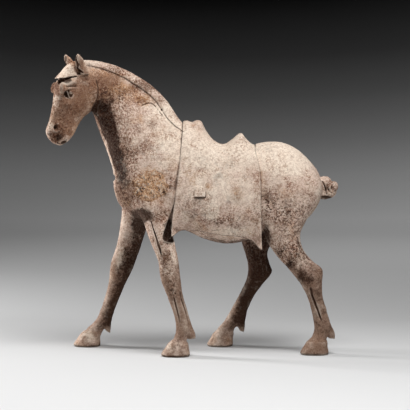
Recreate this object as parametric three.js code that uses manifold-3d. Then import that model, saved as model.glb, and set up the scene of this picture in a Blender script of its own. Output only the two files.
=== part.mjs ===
// A striding pottery horse with a draped saddle, one fired piece standing on its four hooves.
// Millimetres, +Z up. The horse faces -X and its left side faces -Y. The origin is on the ground,
// under the middle of the figure's box.
import * as THREE from "three";
import { mergeVertices } from "three/addons/utils/BufferGeometryUtils.js";
import Module from "manifold-3d";

const wasm = await Module();
wasm.setup();

// Driving sizes.
const HEAD_TURN = THREE.MathUtils.degToRad(25); // the head looks a little to the horse's left
const TURN_AXIS_X = -140; // the upright line that the head and neck turn about
const TURN_START = new THREE.Vector2(-60, 300); // x, z where the turn begins, low on the neck
const TURN_END = new THREE.Vector2(-165, 440); // and where it is complete, at the poll
const CLOTH_THICK = 4.5;
const CLOTH_LIFT = 3; // how far the cloth stands proud of the flank
const CORNER_FLARE = 5; // how far its free corners swing out from the widest part of the barrel
const SADDLE_HIGH_Z = 350;
const SHOULDER_Z = 300; // height where the saddle's arch turns into the hanging cloth
const BARREL_WIDEST_Z = 262;
const HEM_MEAN_Z = 180;
const ARCH_SHARE = 0.45; // share of the cloth's rows that round the saddle's arch
const CREASE_REACH = 0.17; // share of them on each side of the arch's foot that are evened out
const FREE_FRONT = 0.22; // share of the cloth's length that comes free at its front corners
const FREE_REAR = 0.2; // and at its rear corners
const MIDDLE_LOOSE = 0.25; // how far the middle of the hem stands off the belly, from 0 to 1
const HOOF_HALF_WIDTH = 18.5;
const HOOF_SQUARENESS = 2.3;
const HOOF_HEIGHT = 25;
const GROUND = -2; // the soles, in the height scale that the stations below use
const MIDDLE = new THREE.Vector2(2.7, -4.8); // x, y in the stations' scale that become the origin

// A limb is a row of stations from one end to the other. Each one is
// [front x, front z, back x, back z, middle y, half width, taper, squareness]:
// its outline spans the two edge points, taper above 0 narrows it towards the back or upper edge,
// and squareness 2 is an ellipse.
const TORSO = [
  [-125, 254, -125, 264, 0, 8, 0, 2],
  [-118, 238, -118, 282, 0, 30, 0, 2],
  [-102, 220, -102, 308, 0, 45, 0, 2.2],
  [-75, 209, -75, 332, 0, 54, 0.06, 2.3],
  [-45, 203, -45, 346, 0, 57, 0.1, 2.3],
  [-12, 194, -12, 350, 0, 60, 0.12, 2.3],
  [22, 179, 20, 340, 0, 62, 0.1, 2.3],
  [55, 171.5, 52, 328, 0, 63, 0.06, 2.3],
  [84, 175, 84, 326, 0, 62, 0.03, 2.3],
  [110, 186, 112, 333, 0, 60, 0, 2.3],
  [135, 196, 138, 334.5, 0, 59, 0, 2.2],
  [160, 201, 162, 327, 0, 56, 0, 2.1],
  [182, 208, 184, 309.5, 0, 48, 0, 2],
  [198, 226, 200, 291, 0, 35, 0, 2],
  [206.5, 243, 207.5, 274, 0, 20, 0, 2],
  [209.5, 255, 209.5, 263, 0, 6, 0, 2],
];
const NECK = [
  [-100, 232, 8, 336, 0, 46, 0.06, 2.1],
  [-118, 262, -12, 360, 0, 50, 0.18, 2.1],
  [-124.5, 287, -31, 377, 0, 43.5, 0.26, 2.1],
  [-132, 311, -47, 396, 0, 37, 0.3, 2.1],
  [-140, 334, -67, 415, 0, 31.5, 0.3, 2.1],
  [-148, 356, -94, 434, 0, 27, 0.28, 2.1],
  [-154, 374, -123, 446, 0, 24, 0.22, 2.1],
  [-159, 386, -150, 454, 0, 22, 0.15, 2.1],
  [-168, 397, -176, 456, 0, 19.5, 0.1, 2.1],
  [-180, 408, -193, 450, 0, 15, 0, 2],
];
const MANE = [
  [-184, 463, -178, 446, 0, 6, 0, 2],
  [-165, 464.5, -162, 444, 0, 9.5, 0, 2],
  [-133, 459.8, -140, 438, 0, 11.5, 0, 2],
  [-99, 447.5, -110, 425, 0, 13, 0, 2],
  [-65.5, 427.5, -80, 404, 0, 14.5, 0, 2],
  [-41, 403, -57, 382, 0, 15, 0, 2],
  [-26, 380, -43, 364, 0, 14, 0, 2],
  [-14, 364, -27, 352, 0, 10, 0, 2],
];
const HEAD = [
  [-196, 461, -172, 459, 0, 12, 0, 2],
  [-206, 452, -161, 447, 0, 19.5, 0, 2.3],
  [-216, 437, -156, 431, 0, 22.5, -0.04, 2.7],
  [-221.5, 420, -156, 414, 0, 23, -0.06, 2.9],
  [-223, 406, -158, 399, 0, 21, 0, 2.8],
  [-225.5, 394, -161.5, 384, 0, 18.5, 0.1, 2.5],
  [-228.5, 381, -174.5, 373, 0, 15.5, 0.08, 2.5],
  [-232, 368, -183, 360, 0, 14, 0, 2.4],
  [-235.5, 358, -188, 349, 0, 14.5, 0, 2.4],
  [-236.5, 350, -192.5, 340, 0, 14, 0, 2.3],
  [-232, 341, -199, 332, 0, 12, 0, 2.2],
  [-224.5, 333.5, -209, 327.5, 0, 7, 0, 2],
];
const FORELOCK = [
  [-188, 463, -176, 455, 0, 9, 0, 2],
  [-197, 458, -184, 447, 0, 15, 0, 2.3],
  [-207.5, 448, -194, 437, 0, 18, 0, 2.6],
  [-217.5, 438, -203, 429, 0, 18, 0, 2.8],
  [-222, 432.5, -207, 426.5, 0, 15, 0, 2.8],
];
const LEFT_FORELEG = [
  [-96, 314, -56, 314, -20, 14, 0, 2],
  [-110, 280, -36, 280, -29, 24, 0, 2],
  [-97, 245, -34, 240, -37, 24, 0, 2],
  [-79, 217, -32, 216, -43, 20, 0, 2],
  [-65, 181, -26, 178, -50, 16.5, 0, 2.1],
  [-52, 149, -20, 147, -54, 14, 0, 2.2],
  [-48, 121, -16.5, 118, -56, 12.5, 0, 2.3],
  [-37, 92, -12.5, 94, -58, 10, 0, 2.2],
  [-27, 64, -4.5, 65, -59, 9.2, 0, 2.1],
  [-24, 45, 0, 45, -60, 10.5, 0, 2.1],
  [-25, 32, -5, 31, -60, 11, 0, 2],
  [-32, 18, -9, 18, -60, 12, 0, 2],
];
const RIGHT_FORELEG = [
  [-98, 314, -60, 314, 20, 14, 0, 2],
  [-111, 280, -48, 280, 29, 24, 0, 2],
  [-112, 245, -54, 238, 36, 23, 0, 2],
  [-114.5, 208, -70, 200, 41, 19, 0, 2],
  [-121.5, 166, -84, 158, 44, 16, 0, 2.1],
  [-131.5, 134, -97, 124, 45, 14, 0, 2.2],
  [-135, 104, -110, 97, 46, 12, 0, 2.3],
  [-143, 74, -120.5, 72, 47, 10, 0, 2.2],
  [-152, 49, -129, 50, 47, 9.4, 0, 2.1],
  [-161, 36, -133, 38, 47, 10.5, 0, 2.1],
  [-171, 27, -143, 27, 47, 11.5, 0, 2],
  [-177, 17, -149, 17, 47, 12.5, 0, 2],
];
const LEFT_HINDLEG = [
  [132, 306, 178, 303, -18, 16, 0, 2],
  [113, 275, 202, 270, -26, 29, 0, 2],
  [109, 240, 200, 242, -30, 30.5, 0, 2.1],
  [113, 206, 183, 212, -34, 26, 0, 2.1],
  [121, 178, 173, 189, -36, 21, 0, 2.1],
  [136, 155, 178, 165, -38, 16.5, 0, 2.1],
  [152, 137.5, 192, 147, -39, 13.5, 0, 2.2],
  [165, 122, 207.5, 134, -40, 12.5, 0.15, 2.3],
  [176, 107, 207.5, 114, -40.5, 11.5, 0, 2.3],
  [185.5, 87, 208.5, 92, -41, 9.8, 0, 2.2],
  [192, 63, 216, 64, -41, 9.4, 0, 2.1],
  [195.5, 43, 221, 43, -41, 10.5, 0, 2.1],
  [194, 31, 217, 31, -41, 11, 0, 2],
  [187.5, 18, 214, 18, -41, 12, 0, 2],
];
const RIGHT_HINDLEG = [
  [126, 306, 176, 303, 18, 16, 0, 2],
  [106, 275, 199, 270, 26, 29, 0, 2],
  [95, 238, 192, 240, 30, 30.5, 0, 2.1],
  [86, 205, 166, 206, 34, 26, 0, 2.1],
  [81, 176, 138, 180, 38, 21, 0, 2.1],
  [88, 151, 124.5, 154, 42, 16.5, 0, 2.1],
  [92.5, 133, 127, 135, 43, 13.5, 0, 2.2],
  [92, 118, 131, 120, 44, 12.5, 0.15, 2.3],
  [88, 103, 118, 103, 45, 11.5, 0, 2.3],
  [78, 82, 103, 82, 46, 9.8, 0, 2.2],
  [66, 60, 92, 59, 47, 9.4, 0, 2.1],
  [52, 37, 85.5, 38, 48, 10.5, 0, 2.1],
  [44, 28, 71, 28, 48, 11.5, 0, 2],
  [39, 18, 68, 18, 48, 12.5, 0, 2],
];
// Each hoof: [toe x, heel x, middle y, crown front x, crown back x].
const HOOVES = [
  [-45.8, -2.5, -60, -34, -6],
  [-191.5, -150.3, 47, -180, -149],
  [174.5, 217.5, -41, 186, 215],
  [27, 67, 48, 37, 69],
];
// The tuft behind each fetlock, as four pairs of front and back points going down, and its middle y.
const TUFTS = [
  [[-21, 62], [-6, 59], [-19, 47], [1, 46], [-11, 34], [6.5, 34], [-4, 25], [7, 26], -60],
  [[-149, 58], [-128, 54], [-149, 45], [-131, 43], [-145, 32], [-132.5, 29], [-140, 23], [-133.5, 19.5], 47],
  [[197, 62], [213, 59], [203, 47], [222, 45], [213, 33], [228, 31.5], [219, 23.5], [228, 23], -41],
  [[69, 58], [89, 52], [68, 46], [88, 42], [74, 33], [87, 30], [79, 23.5], [86, 20.5], 48],
];
const TUFT_HALF_WIDTHS = [7, 8, 6.5, 3];
const EAR_BASE = [-181, 18.5, 441]; // x, y, z of the right ear; the left one mirrors it
const EAR_TIP = [-194.5, 27, 473];
// The top line of the covered saddle, as [x, z, squareness of the section]: withers, pommel, seat, cantle.
const SADDLE_TOP = [
  [-15, 366.5, 1.7],
  [-7, 368.6, 1.7],
  [1, 366, 1.7],
  [9, 369, 1.6],
  [16, 367, 1.6],
  [24, 352, 1.8],
  [37, 336, 2],
  [53, 331, 2.2],
  [66, 338.5, 2],
  [79, 348, 1.7],
  [86, 340, 1.8],
  [93, 334, 2],
  [101, 330, 2.1],
];
// The cloth's front edge, rear edge and hem, as [z, x] and [x, z].
const CLOTH_FRONT = [
  [345, -13],
  [295, -18.5],
  [243, -25],
  [187, -31],
];
const CLOTH_REAR = [
  [330, 101],
  [295, 108],
  [234, 110],
  [167, 111.5],
];
const CLOTH_HEM = [
  [-31, 187],
  [-13, 197],
  [10, 196],
  [40, 190],
  [80, 185],
  [96, 179],
  [111.5, 167],
];

// A smooth curve through rows of numbers, read at any place along its first number or its row index.
function smoothRows(rows, keyed) {
  const size = rows[0].length - (keyed ? 1 : 0);
  const sorted = keyed ? [...rows].sort((p, q) => p[0] - q[0]) : rows;
  const at = sorted.map((row, i) => (keyed ? row[0] : i));
  const values = sorted.flatMap((row) => (keyed ? row.slice(1) : row));
  const curve = new THREE.CubicInterpolant(at, values, size);
  return (t) => Array.from(curve.evaluate(THREE.MathUtils.clamp(t, at[0], at[at.length - 1])));
}

// A point of a superellipse at an angle.
function roundedPoint(angle, squareness) {
  const power = 2 / squareness;
  const bend = (v) => Math.sign(v) * Math.abs(v) ** power;
  return [bend(Math.cos(angle)), bend(Math.sin(angle))];
}

// Closes rows of ring points into one solid, with a fan over each end.
function skin(rings) {
  const sides = rings[0].length;
  const points = rings.flat();
  const faces = [];
  for (let r = 0; r + 1 < rings.length; r++)
    for (let i = 0; i < sides; i++) {
      const j = (i + 1) % sides;
      const [a, b, c, d] = [r * sides + i, r * sides + j, (r + 1) * sides + j, (r + 1) * sides + i];
      faces.push(a, b, c, a, c, d);
    }
  for (const last of [false, true]) {
    const ring = last ? rings[rings.length - 1] : rings[0];
    const start = last ? (rings.length - 1) * sides : 0;
    const middle = points.length;
    points.push(ring.reduce((sum, p) => sum.map((v, k) => v + p[k] / sides), [0, 0, 0]));
    for (let i = 0; i < sides; i++) {
      const j = (i + 1) % sides;
      if (last) faces.push(start + i, start + j, middle);
      else faces.push(start + j, start + i, middle);
    }
  }
  return solid(points, faces);
}

// A manifold solid from points and faces, turned so that its faces point out.
function solid(points, faces) {
  const geometry = new THREE.BufferGeometry();
  geometry.setAttribute("position", new THREE.Float32BufferAttribute(points.flat(), 3));
  geometry.setIndex(faces);
  const merged = mergeVertices(geometry, 1e-3);
  const triVerts = new Uint32Array(merged.index.array);
  const vertProperties = merged.attributes.position.array;
  const corner = (i) => new THREE.Vector3().fromArray(vertProperties, triVerts[i] * 3);
  let volume = 0;
  for (let i = 0; i < triVerts.length; i += 3)
    volume += corner(i).dot(corner(i + 1).cross(corner(i + 2)));
  if (volume < 0)
    for (let i = 0; i < triVerts.length; i += 3)
      [triVerts[i], triVerts[i + 1]] = [triVerts[i + 1], triVerts[i]];
  return new wasm.Manifold(new wasm.Mesh({ numProp: 3, vertProperties, triVerts }));
}

// A limb through its stations, optionally moved point by point.
function limb(stations, ringsBetween, sides, move = (p) => p) {
  const read = smoothRows(stations, false);
  const count = (stations.length - 1) * ringsBetween;
  const rings = [];
  for (let r = 0; r <= count; r++) {
    const [ax, az, bx, bz, y, wide, taper, squareness] = read(r / ringsBetween);
    const ring = [];
    for (let i = 0; i < sides; i++) {
      const [side, along] = roundedPoint((i / sides) * 2 * Math.PI, squareness);
      const x = THREE.MathUtils.lerp(ax, bx, (1 + along) / 2);
      const z = THREE.MathUtils.lerp(az, bz, (1 + along) / 2);
      ring.push(move([x, y + side * wide * (1 - taper * along), z]));
    }
    rings.push(ring);
  }
  return skin(rings);
}

// Turns the neck gently and the head fully about the upright line.
function turned([x, y, z]) {
  const line = TURN_END.clone().sub(TURN_START);
  const along = new THREE.Vector2(x, z).sub(TURN_START).dot(line) / line.lengthSq();
  const angle = HEAD_TURN * THREE.MathUtils.smoothstep(along, 0, 1);
  const [cos, sin] = [Math.cos(angle), Math.sin(angle)];
  const reach = x - TURN_AXIS_X;
  return [TURN_AXIS_X + reach * cos - y * sin, reach * sin + y * cos, z];
}

const torsoAt = (() => {
  const rows = TORSO.map(([ax, az, bx, bz, , wide, taper, squareness]) => [
    (ax + bx) / 2, az, bz, wide, taper, squareness,
  ]);
  return smoothRows(rows, true);
})();

const clothFront = smoothRows(CLOTH_FRONT, true);
const clothRear = smoothRows(CLOTH_REAR, true);
const clothHem = smoothRows(CLOTH_HEM, true);
const saddleTop = smoothRows(SADDLE_TOP, true);

// Half width of the barrel at a place on the flank.
function flank(x, z) {
  const [low, high, wide, taper, squareness] = torsoAt(x);
  const along = THREE.MathUtils.clamp((2 * z - low - high) / (high - low), -0.999, 0.999);
  return wide * (1 - taper * along) * (1 - Math.abs(along) ** squareness) ** (1 / squareness);
}

// The saddle and its cloth: one thick sheet over the back, solid with the body except at its four
// lower corners, which hang free. s runs from the front edge to the rear one, t from spine to hem.
function drapePoint(s, t) {
  const arch = Math.min(1, t / ARCH_SHARE);
  const drop = Math.max(0, (t - ARCH_SHARE) / (1 - ARCH_SHARE));
  const archZ = THREE.MathUtils.lerp(SADDLE_HIGH_Z, SHOULDER_Z, arch);
  const edgeZ = THREE.MathUtils.lerp(archZ, HEM_MEAN_Z, drop);
  const x = THREE.MathUtils.lerp(clothFront(edgeZ)[0], clothRear(edgeZ)[0], s);
  const [topZ, squareness] = saddleTop(x);
  const shoulder = flank(x, SHOULDER_Z) + CLOTH_LIFT;
  if (drop === 0) {
    const [side, up] = roundedPoint((1 - arch) * (Math.PI / 2), squareness);
    return { at: [x, side * shoulder, SHOULDER_Z + up * (topZ - SHOULDER_Z)], free: 0 };
  }
  const low = THREE.MathUtils.lerp(SHOULDER_Z, clothHem(x)[0], drop);
  const free = (Math.max(0, 1 - s / FREE_FRONT) + Math.max(0, 1 - (1 - s) / FREE_REAR)) * drop;
  const cling = flank(x, low) + CLOTH_LIFT;
  const widest = flank(x, Math.max(low, BARREL_WIDEST_Z)) + CLOTH_LIFT;
  const hang = widest + CORNER_FLARE * drop ** 2;
  const loose = THREE.MathUtils.lerp(MIDDLE_LOOSE, 1, Math.min(1, free) ** 1.3);
  return { at: [x, THREE.MathUtils.lerp(cling, Math.max(cling, hang), loose), low], free };
}

function drape() {
  const columns = 20;
  const rows = 9;
  // The inner face lies deep inside the body, except under the free corners.
  const innerPoint = (s, t) => {
    const { at: [x, y, z], free } = drapePoint(s, t);
    const arch = 1 - THREE.MathUtils.smoothstep(t, ARCH_SHARE * 0.7, ARCH_SHARE * 1.4);
    const thick = THREE.MathUtils.lerp(4 * CLOTH_THICK, CLOTH_THICK, Math.min(1, free * 3));
    const deep = [x, y / 2, (z + BARREL_WIDEST_Z) / 2];
    return [x, y - thick, z].map((v, k) => THREE.MathUtils.lerp(v, deep[k], arch));
  };
  const rings = [];
  for (let c = 0; c <= columns; c++) {
    const s = c / columns;
    const outer = [];
    const inner = [];
    for (let r = -rows; r <= rows; r++) {
      const t = Math.abs(r) / rows;
      const flip = ([x, y, z]) => [x, Math.sign(r) * y, z];
      outer.push(flip(drapePoint(s, t).at));
      inner.push(flip(innerPoint(s, t)));
    }
    rings.push([...eased(outer), ...inner.reverse()]);
  }
  return sheetSolid(rings);
}

// Evens out a ring of the cloth where the saddle's arch turns into the hanging part.
function eased(ring) {
  const middle = (ring.length - 1) / 2;
  return ring.map((point, i) => {
    const t = Math.abs(i - middle) / middle;
    if (Math.abs(t - ARCH_SHARE) > CREASE_REACH) return point;
    return point.map((v, k) => (ring[i - 1][k] + 2 * v + ring[i + 1][k]) / 4);
  });
}

// Closes a thick sheet whose rings run out along one face and back along the other. Both faces
// are split along the same diagonals, so that the sheet never cuts through itself.
function sheetSolid(rings) {
  const size = rings[0].length;
  const points = rings.flat();
  const faces = [];
  for (let r = 0; r + 1 < rings.length; r++)
    for (let i = 0; i < size; i++) {
      const j = (i + 1) % size;
      const [a, b, c, d] = [r * size + i, r * size + j, (r + 1) * size + j, (r + 1) * size + i];
      if (i < size / 2) faces.push(a, b, c, a, c, d);
      else faces.push(a, b, d, b, c, d);
    }
  const last = (rings.length - 1) * size;
  for (let i = 0; i + 1 < size / 2; i++) {
    const [a, b, c, d] = [i, i + 1, size - 2 - i, size - 1 - i];
    faces.push(a, c, b, a, d, c);
    faces.push(last + a, last + b, last + c, last + a, last + c, last + d);
  }
  return solid(points, faces);
}

function hoof([toe, heel, y, crownFront, crownBack]) {
  const sides = 14;
  const [slope, tuck] = [crownFront - toe, heel - crownBack];
  // Each level: share of the height, how far front and back draw in, and share of the width.
  const levels = [
    [0, 0, 0, 0.94],
    [0.12, -1.2, -0.6, 1],
    [0.5, slope * 0.4, tuck * 0.3, 0.92],
    [0.82, slope * 0.85, tuck * 0.6, 0.78],
    [1, slope + 3, tuck + 2, 0.58],
  ];
  const rings = levels.map(([height, front, back, share]) => {
    const z = GROUND + height * HOOF_HEIGHT;
    const [low, high] = [toe + front, heel - back];
    return Array.from({ length: sides }, (_, i) => {
      const [cos, sin] = roundedPoint((i / sides) * 2 * Math.PI, HOOF_SQUARENESS);
      return [THREE.MathUtils.lerp(low, high, (1 + cos) / 2), y + sin * HOOF_HALF_WIDTH * share, z];
    });
  });
  return skin(rings);
}

function tuft(points) {
  const y = points[points.length - 1];
  const stations = TUFT_HALF_WIDTHS.map((wide, i) => {
    const [front, back] = [points[2 * i], points[2 * i + 1]];
    return [...front, ...back, y, wide, 0, 2];
  });
  return limb(stations, 2, 8);
}

function ear(side) {
  const [baseX, baseY, baseZ] = EAR_BASE;
  const [tipX, tipY, tipZ] = EAR_TIP;
  // Each level of the ear: share of its length, half depth and half width.
  const levels = [
    [0, 8, 6.5],
    [0.25, 8, 6.5],
    [0.5, 6.5, 6],
    [0.75, 4.5, 4.5],
    [0.93, 2.4, 2.4],
    [1, 0.9, 0.9],
  ];
  const leaf = (shrink, forward) => {
    const stations = levels.map(([share, deep, wide]) => {
      const x = THREE.MathUtils.lerp(baseX, tipX, share) + forward;
      const z = THREE.MathUtils.lerp(baseZ, tipZ, share);
      const y = side * (THREE.MathUtils.lerp(baseY, tipY, share) - forward * 0.12);
      return [x - deep * shrink, z, x + deep * shrink, z + 1, y, wide * shrink, 0, 2];
    });
    return limb(stations, 1, 10, turned);
  };
  return leaf(1, 0).subtract(leaf(0.62, -5.5));
}

// A ball squashed to three half sizes, leaned in the x-z plane and then turned about the upright.
function lump([x, y, z], [halfX, halfY, halfZ], lean, turn = 0) {
  const ball = new THREE.SphereGeometry(1, 10, 7);
  ball.scale(halfX, halfY, halfZ);
  ball.rotateY(lean);
  ball.rotateZ(turn);
  ball.translate(x, y, z);
  const { position } = ball.attributes;
  const points = Array.from({ length: position.count }, (_, i) => [
    position.getX(i), position.getY(i), position.getZ(i),
  ]);
  return solid(points, [...ball.index.array]);
}

// The docked tail: a lock folded into a bun and bound at its root.
function tail() {
  return lump([210, 0, 262], [8, 11, 17], 0.1)
    .add(lump([214.5, 0, 267], [10.5, 12, 12], 0.3))
    .add(lump([227, 0, 262], [8.5, 10, 9.5], 0.4))
    .add(lump([220, 0, 252.5], [13, 11, 9], -0.2))
    .add(lump([213, 0, 250.5], [10, 9, 8.5], 0));
}

// The strap keeper on each side of the cloth: a small wedge, flush above and proud below.
function keeper(side) {
  const [x, z, halfLong, halfHigh, proud, sunk] = [14, 258.7, 8.6, 8, 3.5, 8];
  const face = flank(x, z) + CLOTH_LIFT;
  const ring = (px) => [
    [px, side * (face - sunk), z - halfHigh],
    [px, side * (face + proud), z - halfHigh],
    [px, side * (face - 1), z + halfHigh],
    [px, side * (face - sunk), z + halfHigh],
  ];
  return skin([ring(x - halfLong), ring(x + halfLong)]);
}

// Each side of the face: the eyeball and the brow above it.
function face(side) {
  const turn = (x, y, z) => turned([x, side * y, z]);
  const eyeball = lump(turn(-206.5, 19, 414), [7, 4.5, 5.2], 0, HEAD_TURN);
  const brow = lump(turn(-209, 16, 421.5), [11, 7.5, 5.5], 0.35, HEAD_TURN);
  return eyeball.add(brow);
}

function nostril(side) {
  return lump(turned([-229, side * 13.5, 357.5]), [3.6, 4.5, 3], 0, 0);
}

const pieces = [
  limb(TORSO, 2, 20),
  limb(NECK, 2, 18, turned),
  limb(MANE, 2, 10, turned),
  limb(HEAD, 2, 16, turned),
  limb(FORELOCK, 2, 10, turned),
  limb(LEFT_FORELEG, 2, 12),
  limb(RIGHT_FORELEG, 2, 12),
  limb(LEFT_HINDLEG, 2, 12),
  limb(RIGHT_HINDLEG, 2, 12),
  ...HOOVES.map(hoof),
  ...TUFTS.map(tuft),
  ear(1),
  ear(-1),
  face(1),
  face(-1),
  drape(),
  keeper(1),
  keeper(-1),
  tail(),
];
const cuts = [nostril(1), nostril(-1)];
const whole = pieces.reduce((sum, piece) => sum.add(piece));
const horse = cuts.reduce((rest, cut) => rest.subtract(cut), whole);

function meshOf(manifold, name, material) {
  const { numProp, vertProperties, triVerts } = manifold.getMesh();
  const geometry = new THREE.BufferGeometry();
  const position = [];
  for (let i = 0; i < vertProperties.length; i += numProp)
    position.push(
      vertProperties[i] - MIDDLE.x,
      vertProperties[i + 1] - MIDDLE.y,
      vertProperties[i + 2] - GROUND,
    );
  geometry.setAttribute("position", new THREE.Float32BufferAttribute(position, 3));
  geometry.setIndex([...triVerts]);
  geometry.computeVertexNormals();
  const mesh = new THREE.Mesh(geometry, material);
  mesh.name = name;
  return mesh;
}

const pottery = new THREE.MeshStandardMaterial({ color: 0xb3a08c, roughness: 0.9, metalness: 0 });
const figure = new THREE.Group();
figure.add(meshOf(horse, "horse", pottery));

export default figure;
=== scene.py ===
# A striding pottery horse with a covered saddle, one fired piece with its carved detail and worn
# surface. Its limbs are lofted through stations and blended in a grid of distances, which is carved
# with strokes, meshed, roughened and turned at the neck.
import math
import bpy
import numpy as np
import openvdb
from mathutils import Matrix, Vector


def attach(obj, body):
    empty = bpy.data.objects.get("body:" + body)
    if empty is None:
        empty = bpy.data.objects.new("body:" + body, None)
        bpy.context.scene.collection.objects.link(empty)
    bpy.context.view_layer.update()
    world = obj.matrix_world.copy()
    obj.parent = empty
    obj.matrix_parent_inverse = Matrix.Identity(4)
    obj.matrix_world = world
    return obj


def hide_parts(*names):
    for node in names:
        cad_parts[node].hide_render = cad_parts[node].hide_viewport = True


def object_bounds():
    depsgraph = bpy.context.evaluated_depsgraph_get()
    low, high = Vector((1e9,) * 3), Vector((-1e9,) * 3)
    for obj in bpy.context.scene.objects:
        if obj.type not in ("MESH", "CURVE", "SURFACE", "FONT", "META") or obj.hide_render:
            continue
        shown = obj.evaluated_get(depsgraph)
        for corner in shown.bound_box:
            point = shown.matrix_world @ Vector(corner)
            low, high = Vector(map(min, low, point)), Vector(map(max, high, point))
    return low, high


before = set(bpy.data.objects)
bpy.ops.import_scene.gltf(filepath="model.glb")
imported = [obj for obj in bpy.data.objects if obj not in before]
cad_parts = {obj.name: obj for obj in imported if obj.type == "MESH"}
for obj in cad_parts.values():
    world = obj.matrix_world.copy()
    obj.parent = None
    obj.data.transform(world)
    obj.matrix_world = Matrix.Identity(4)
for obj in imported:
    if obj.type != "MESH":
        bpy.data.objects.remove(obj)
cad_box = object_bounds()

# Driving sizes, in millimetres. The stations keep the scale that they were measured in, where the
# middle of the figure's box on the ground is at ORIGIN.
GRID = 1.1
TRIANGLES = 194000
FAR = 40.0
HEAD_TURN = math.radians(25)
TURN_AXIS_X = -140
TURN_START = (-60, 300)
TURN_END = (-165, 440)
CLOTH_THICK = 4.5
CLOTH_LIFT = 3
CORNER_FLARE = 5
SADDLE_HIGH_Z = 350
SHOULDER_Z = 300
HEAD_BACK_X = -152
HEAD_LOW_Z = 320
TAIL_ROOT = (200, 206)
BARREL_WIDEST_Z = 262
HEM_MEAN_Z = 180
ARCH_SHARE = 0.45
FREE_FRONT = 0.22
FREE_REAR = 0.2
MIDDLE_LOOSE = 0.25
HOOF_HALF_WIDTH = 18.5
HOOF_SQUARENESS = 2.3
HOOF_HEIGHT = 25
GROUND = -2
ORIGIN = np.array([2.7, -4.8, GROUND])

# The photograph's camera, in the stations' scale. FOCAL is in its pixels, and the figure lies at
# SIGHT_DEPTHS from the eye.
EYE = np.array([22.0, -2800.0, 430.0])
AIM = np.array([22.0, 0.0, 233.0])
FOCAL = 1750
PHOTO_SIDE = 410
SIGHT_DEPTHS = np.arange(2680, 2920, 0.5)[:, None]

# The sheet under and behind the figure, in metres, and its greys from front to top: [y + z, grey].
SHEET_FLAT = 2.3
SHEET_BEND = 1.5
SHEET_HIGH = 4.0
# The greys are painted shade: the sheet darkens away from the figure's front and up the wall, as the light
# falls off.
SHEET_GREYS = [[-0.5, 0.76], [-0.1, 0.66], [0.1, 0.57], [0.36, 0.47], [1.2, 0.42], [2.5, 0.465], [3, 0.33],
               [3.35, 0.19], [3.66, 0.096], [3.94, 0.04], [4.3, 0.007]]

# A limb is a row of stations: [front x, front z, back x, back z, half width, middle y, squareness,
# taper]. Its outline spans the two edge points, squareness 2 is an ellipse, and taper narrows it
# towards the back or upper edge. The last three are 0, 2 and 0 where they are left out.
TORSO = [
    [-122.5, 254, -122.5, 264, 8],
    [-117, 238, -117, 282, 30],
    [-102, 220, -102, 308, 45, 0, 2.2],
    [-75, 209, -75, 332, 54, 0, 2.3, 0.06],
    [-45, 203, -45, 346, 57, 0, 2.3, 0.1],
    [-12, 194, -12, 350, 60, 0, 2.3, 0.12],
    [22, 179, 20, 340, 62, 0, 2.3, 0.1],
    [55, 171.5, 52, 328, 63, 0, 2.3, 0.06],
    [84, 175, 84, 326, 62, 0, 2.3, 0.03],
    [110, 186, 112, 333, 60, 0, 2.3],
    [135, 196, 138, 334.5, 59, 0, 2.2],
    [160, 201, 162, 327, 56, 0, 2.1],
    [182, 208, 184, 309.5, 48],
    [198, 226, 200, 291, 35],
    [206.5, 243, 207.5, 274, 20],
    [209.5, 255, 209.5, 263, 6],
]
NECK = [
    [-100, 232, 8, 336, 46, 0, 2.1, 0.06],
    [-118, 262, -12, 360, 50, 0, 2.1, 0.18],
    [-124.5, 287, -31, 377, 43.5, 0, 2.1, 0.26],
    [-132, 311, -47, 396, 37, 0, 2.1, 0.3],
    [-140, 334, -67, 415, 31.5, 0, 2.1, 0.3],
    [-148, 356, -94, 434, 27, 0, 2.1, 0.28],
    [-154, 374, -123, 446, 24, 0, 2.1, 0.22],
    [-159, 386, -150, 454, 22, 0, 2.1, 0.15],
    [-168, 397, -176, 456, 19.5, 0, 2.1, 0.1],
    [-180, 408, -193, 450, 15],
]
MANE = [
    [-184, 463, -178, 446, 6],
    [-165, 464.5, -162, 444, 9.5],
    [-133, 459.8, -140, 438, 11.5],
    [-99, 447.5, -110, 425, 13],
    [-65.5, 427.5, -80, 404, 14.5],
    [-41, 403, -57, 382, 15],
    [-26, 380, -43, 364, 14],
    [-14, 364, -27, 352, 10],
]
HEAD = [
    [-196, 461, -172, 459, 12],
    [-206, 452, -161, 447, 19.5, 0, 2.3],
    [-216, 437, -156, 431, 22.5, 0, 2.7, -0.04],
    [-221.5, 420, -156, 414, 23, 0, 2.9, -0.06],
    [-223, 406, -158, 399, 21, 0, 2.8],
    [-225.5, 394, -161.5, 384, 18.5, 0, 2.5, 0.1],
    [-228.5, 381, -174.5, 373, 15.5, 0, 2.5, 0.08],
    [-232, 368, -183, 360, 14, 0, 2.4],
    [-235.5, 358, -188, 349, 14.5, 0, 2.4],
    [-236.5, 350, -194, 340.5, 14, 0, 2.3],
    [-232, 341, -202, 333, 12, 0, 2.2],
    [-224.5, 333.5, -211, 328.5, 7],
]
FORELOCK = [
    [-188, 463, -176, 455, 9],
    [-197, 458, -184, 447, 15, 0, 2.3],
    [-207.5, 448, -194, 437, 18, 0, 2.6],
    [-217.5, 438, -203, 429, 18, 0, 2.8],
    [-220.5, 433, -207, 426.5, 15, 0, 2.8],
]
LEFT_FORELEG = [
    [-96, 314, -56, 314, 14, -20],
    [-110, 280, -36, 280, 24, -29],
    [-97, 245, -34, 240, 24, -37],
    [-79, 217, -32, 216, 20, -43],
    [-65, 181, -26, 178, 16.5, -50, 2.1],
    [-52, 149, -20, 147, 14, -54, 2.2],
    [-48, 121, -16.5, 118, 12.5, -56, 2.3],
    [-37, 92, -12.5, 94, 10, -58, 2.2],
    [-27, 64, -4.5, 65, 9.2, -59, 2.1],
    [-24, 45, 0, 45, 10.5, -60, 2.1],
    [-25, 32, -5, 31, 11, -60],
    [-32, 18, -9, 18, 12, -60],
]
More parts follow.
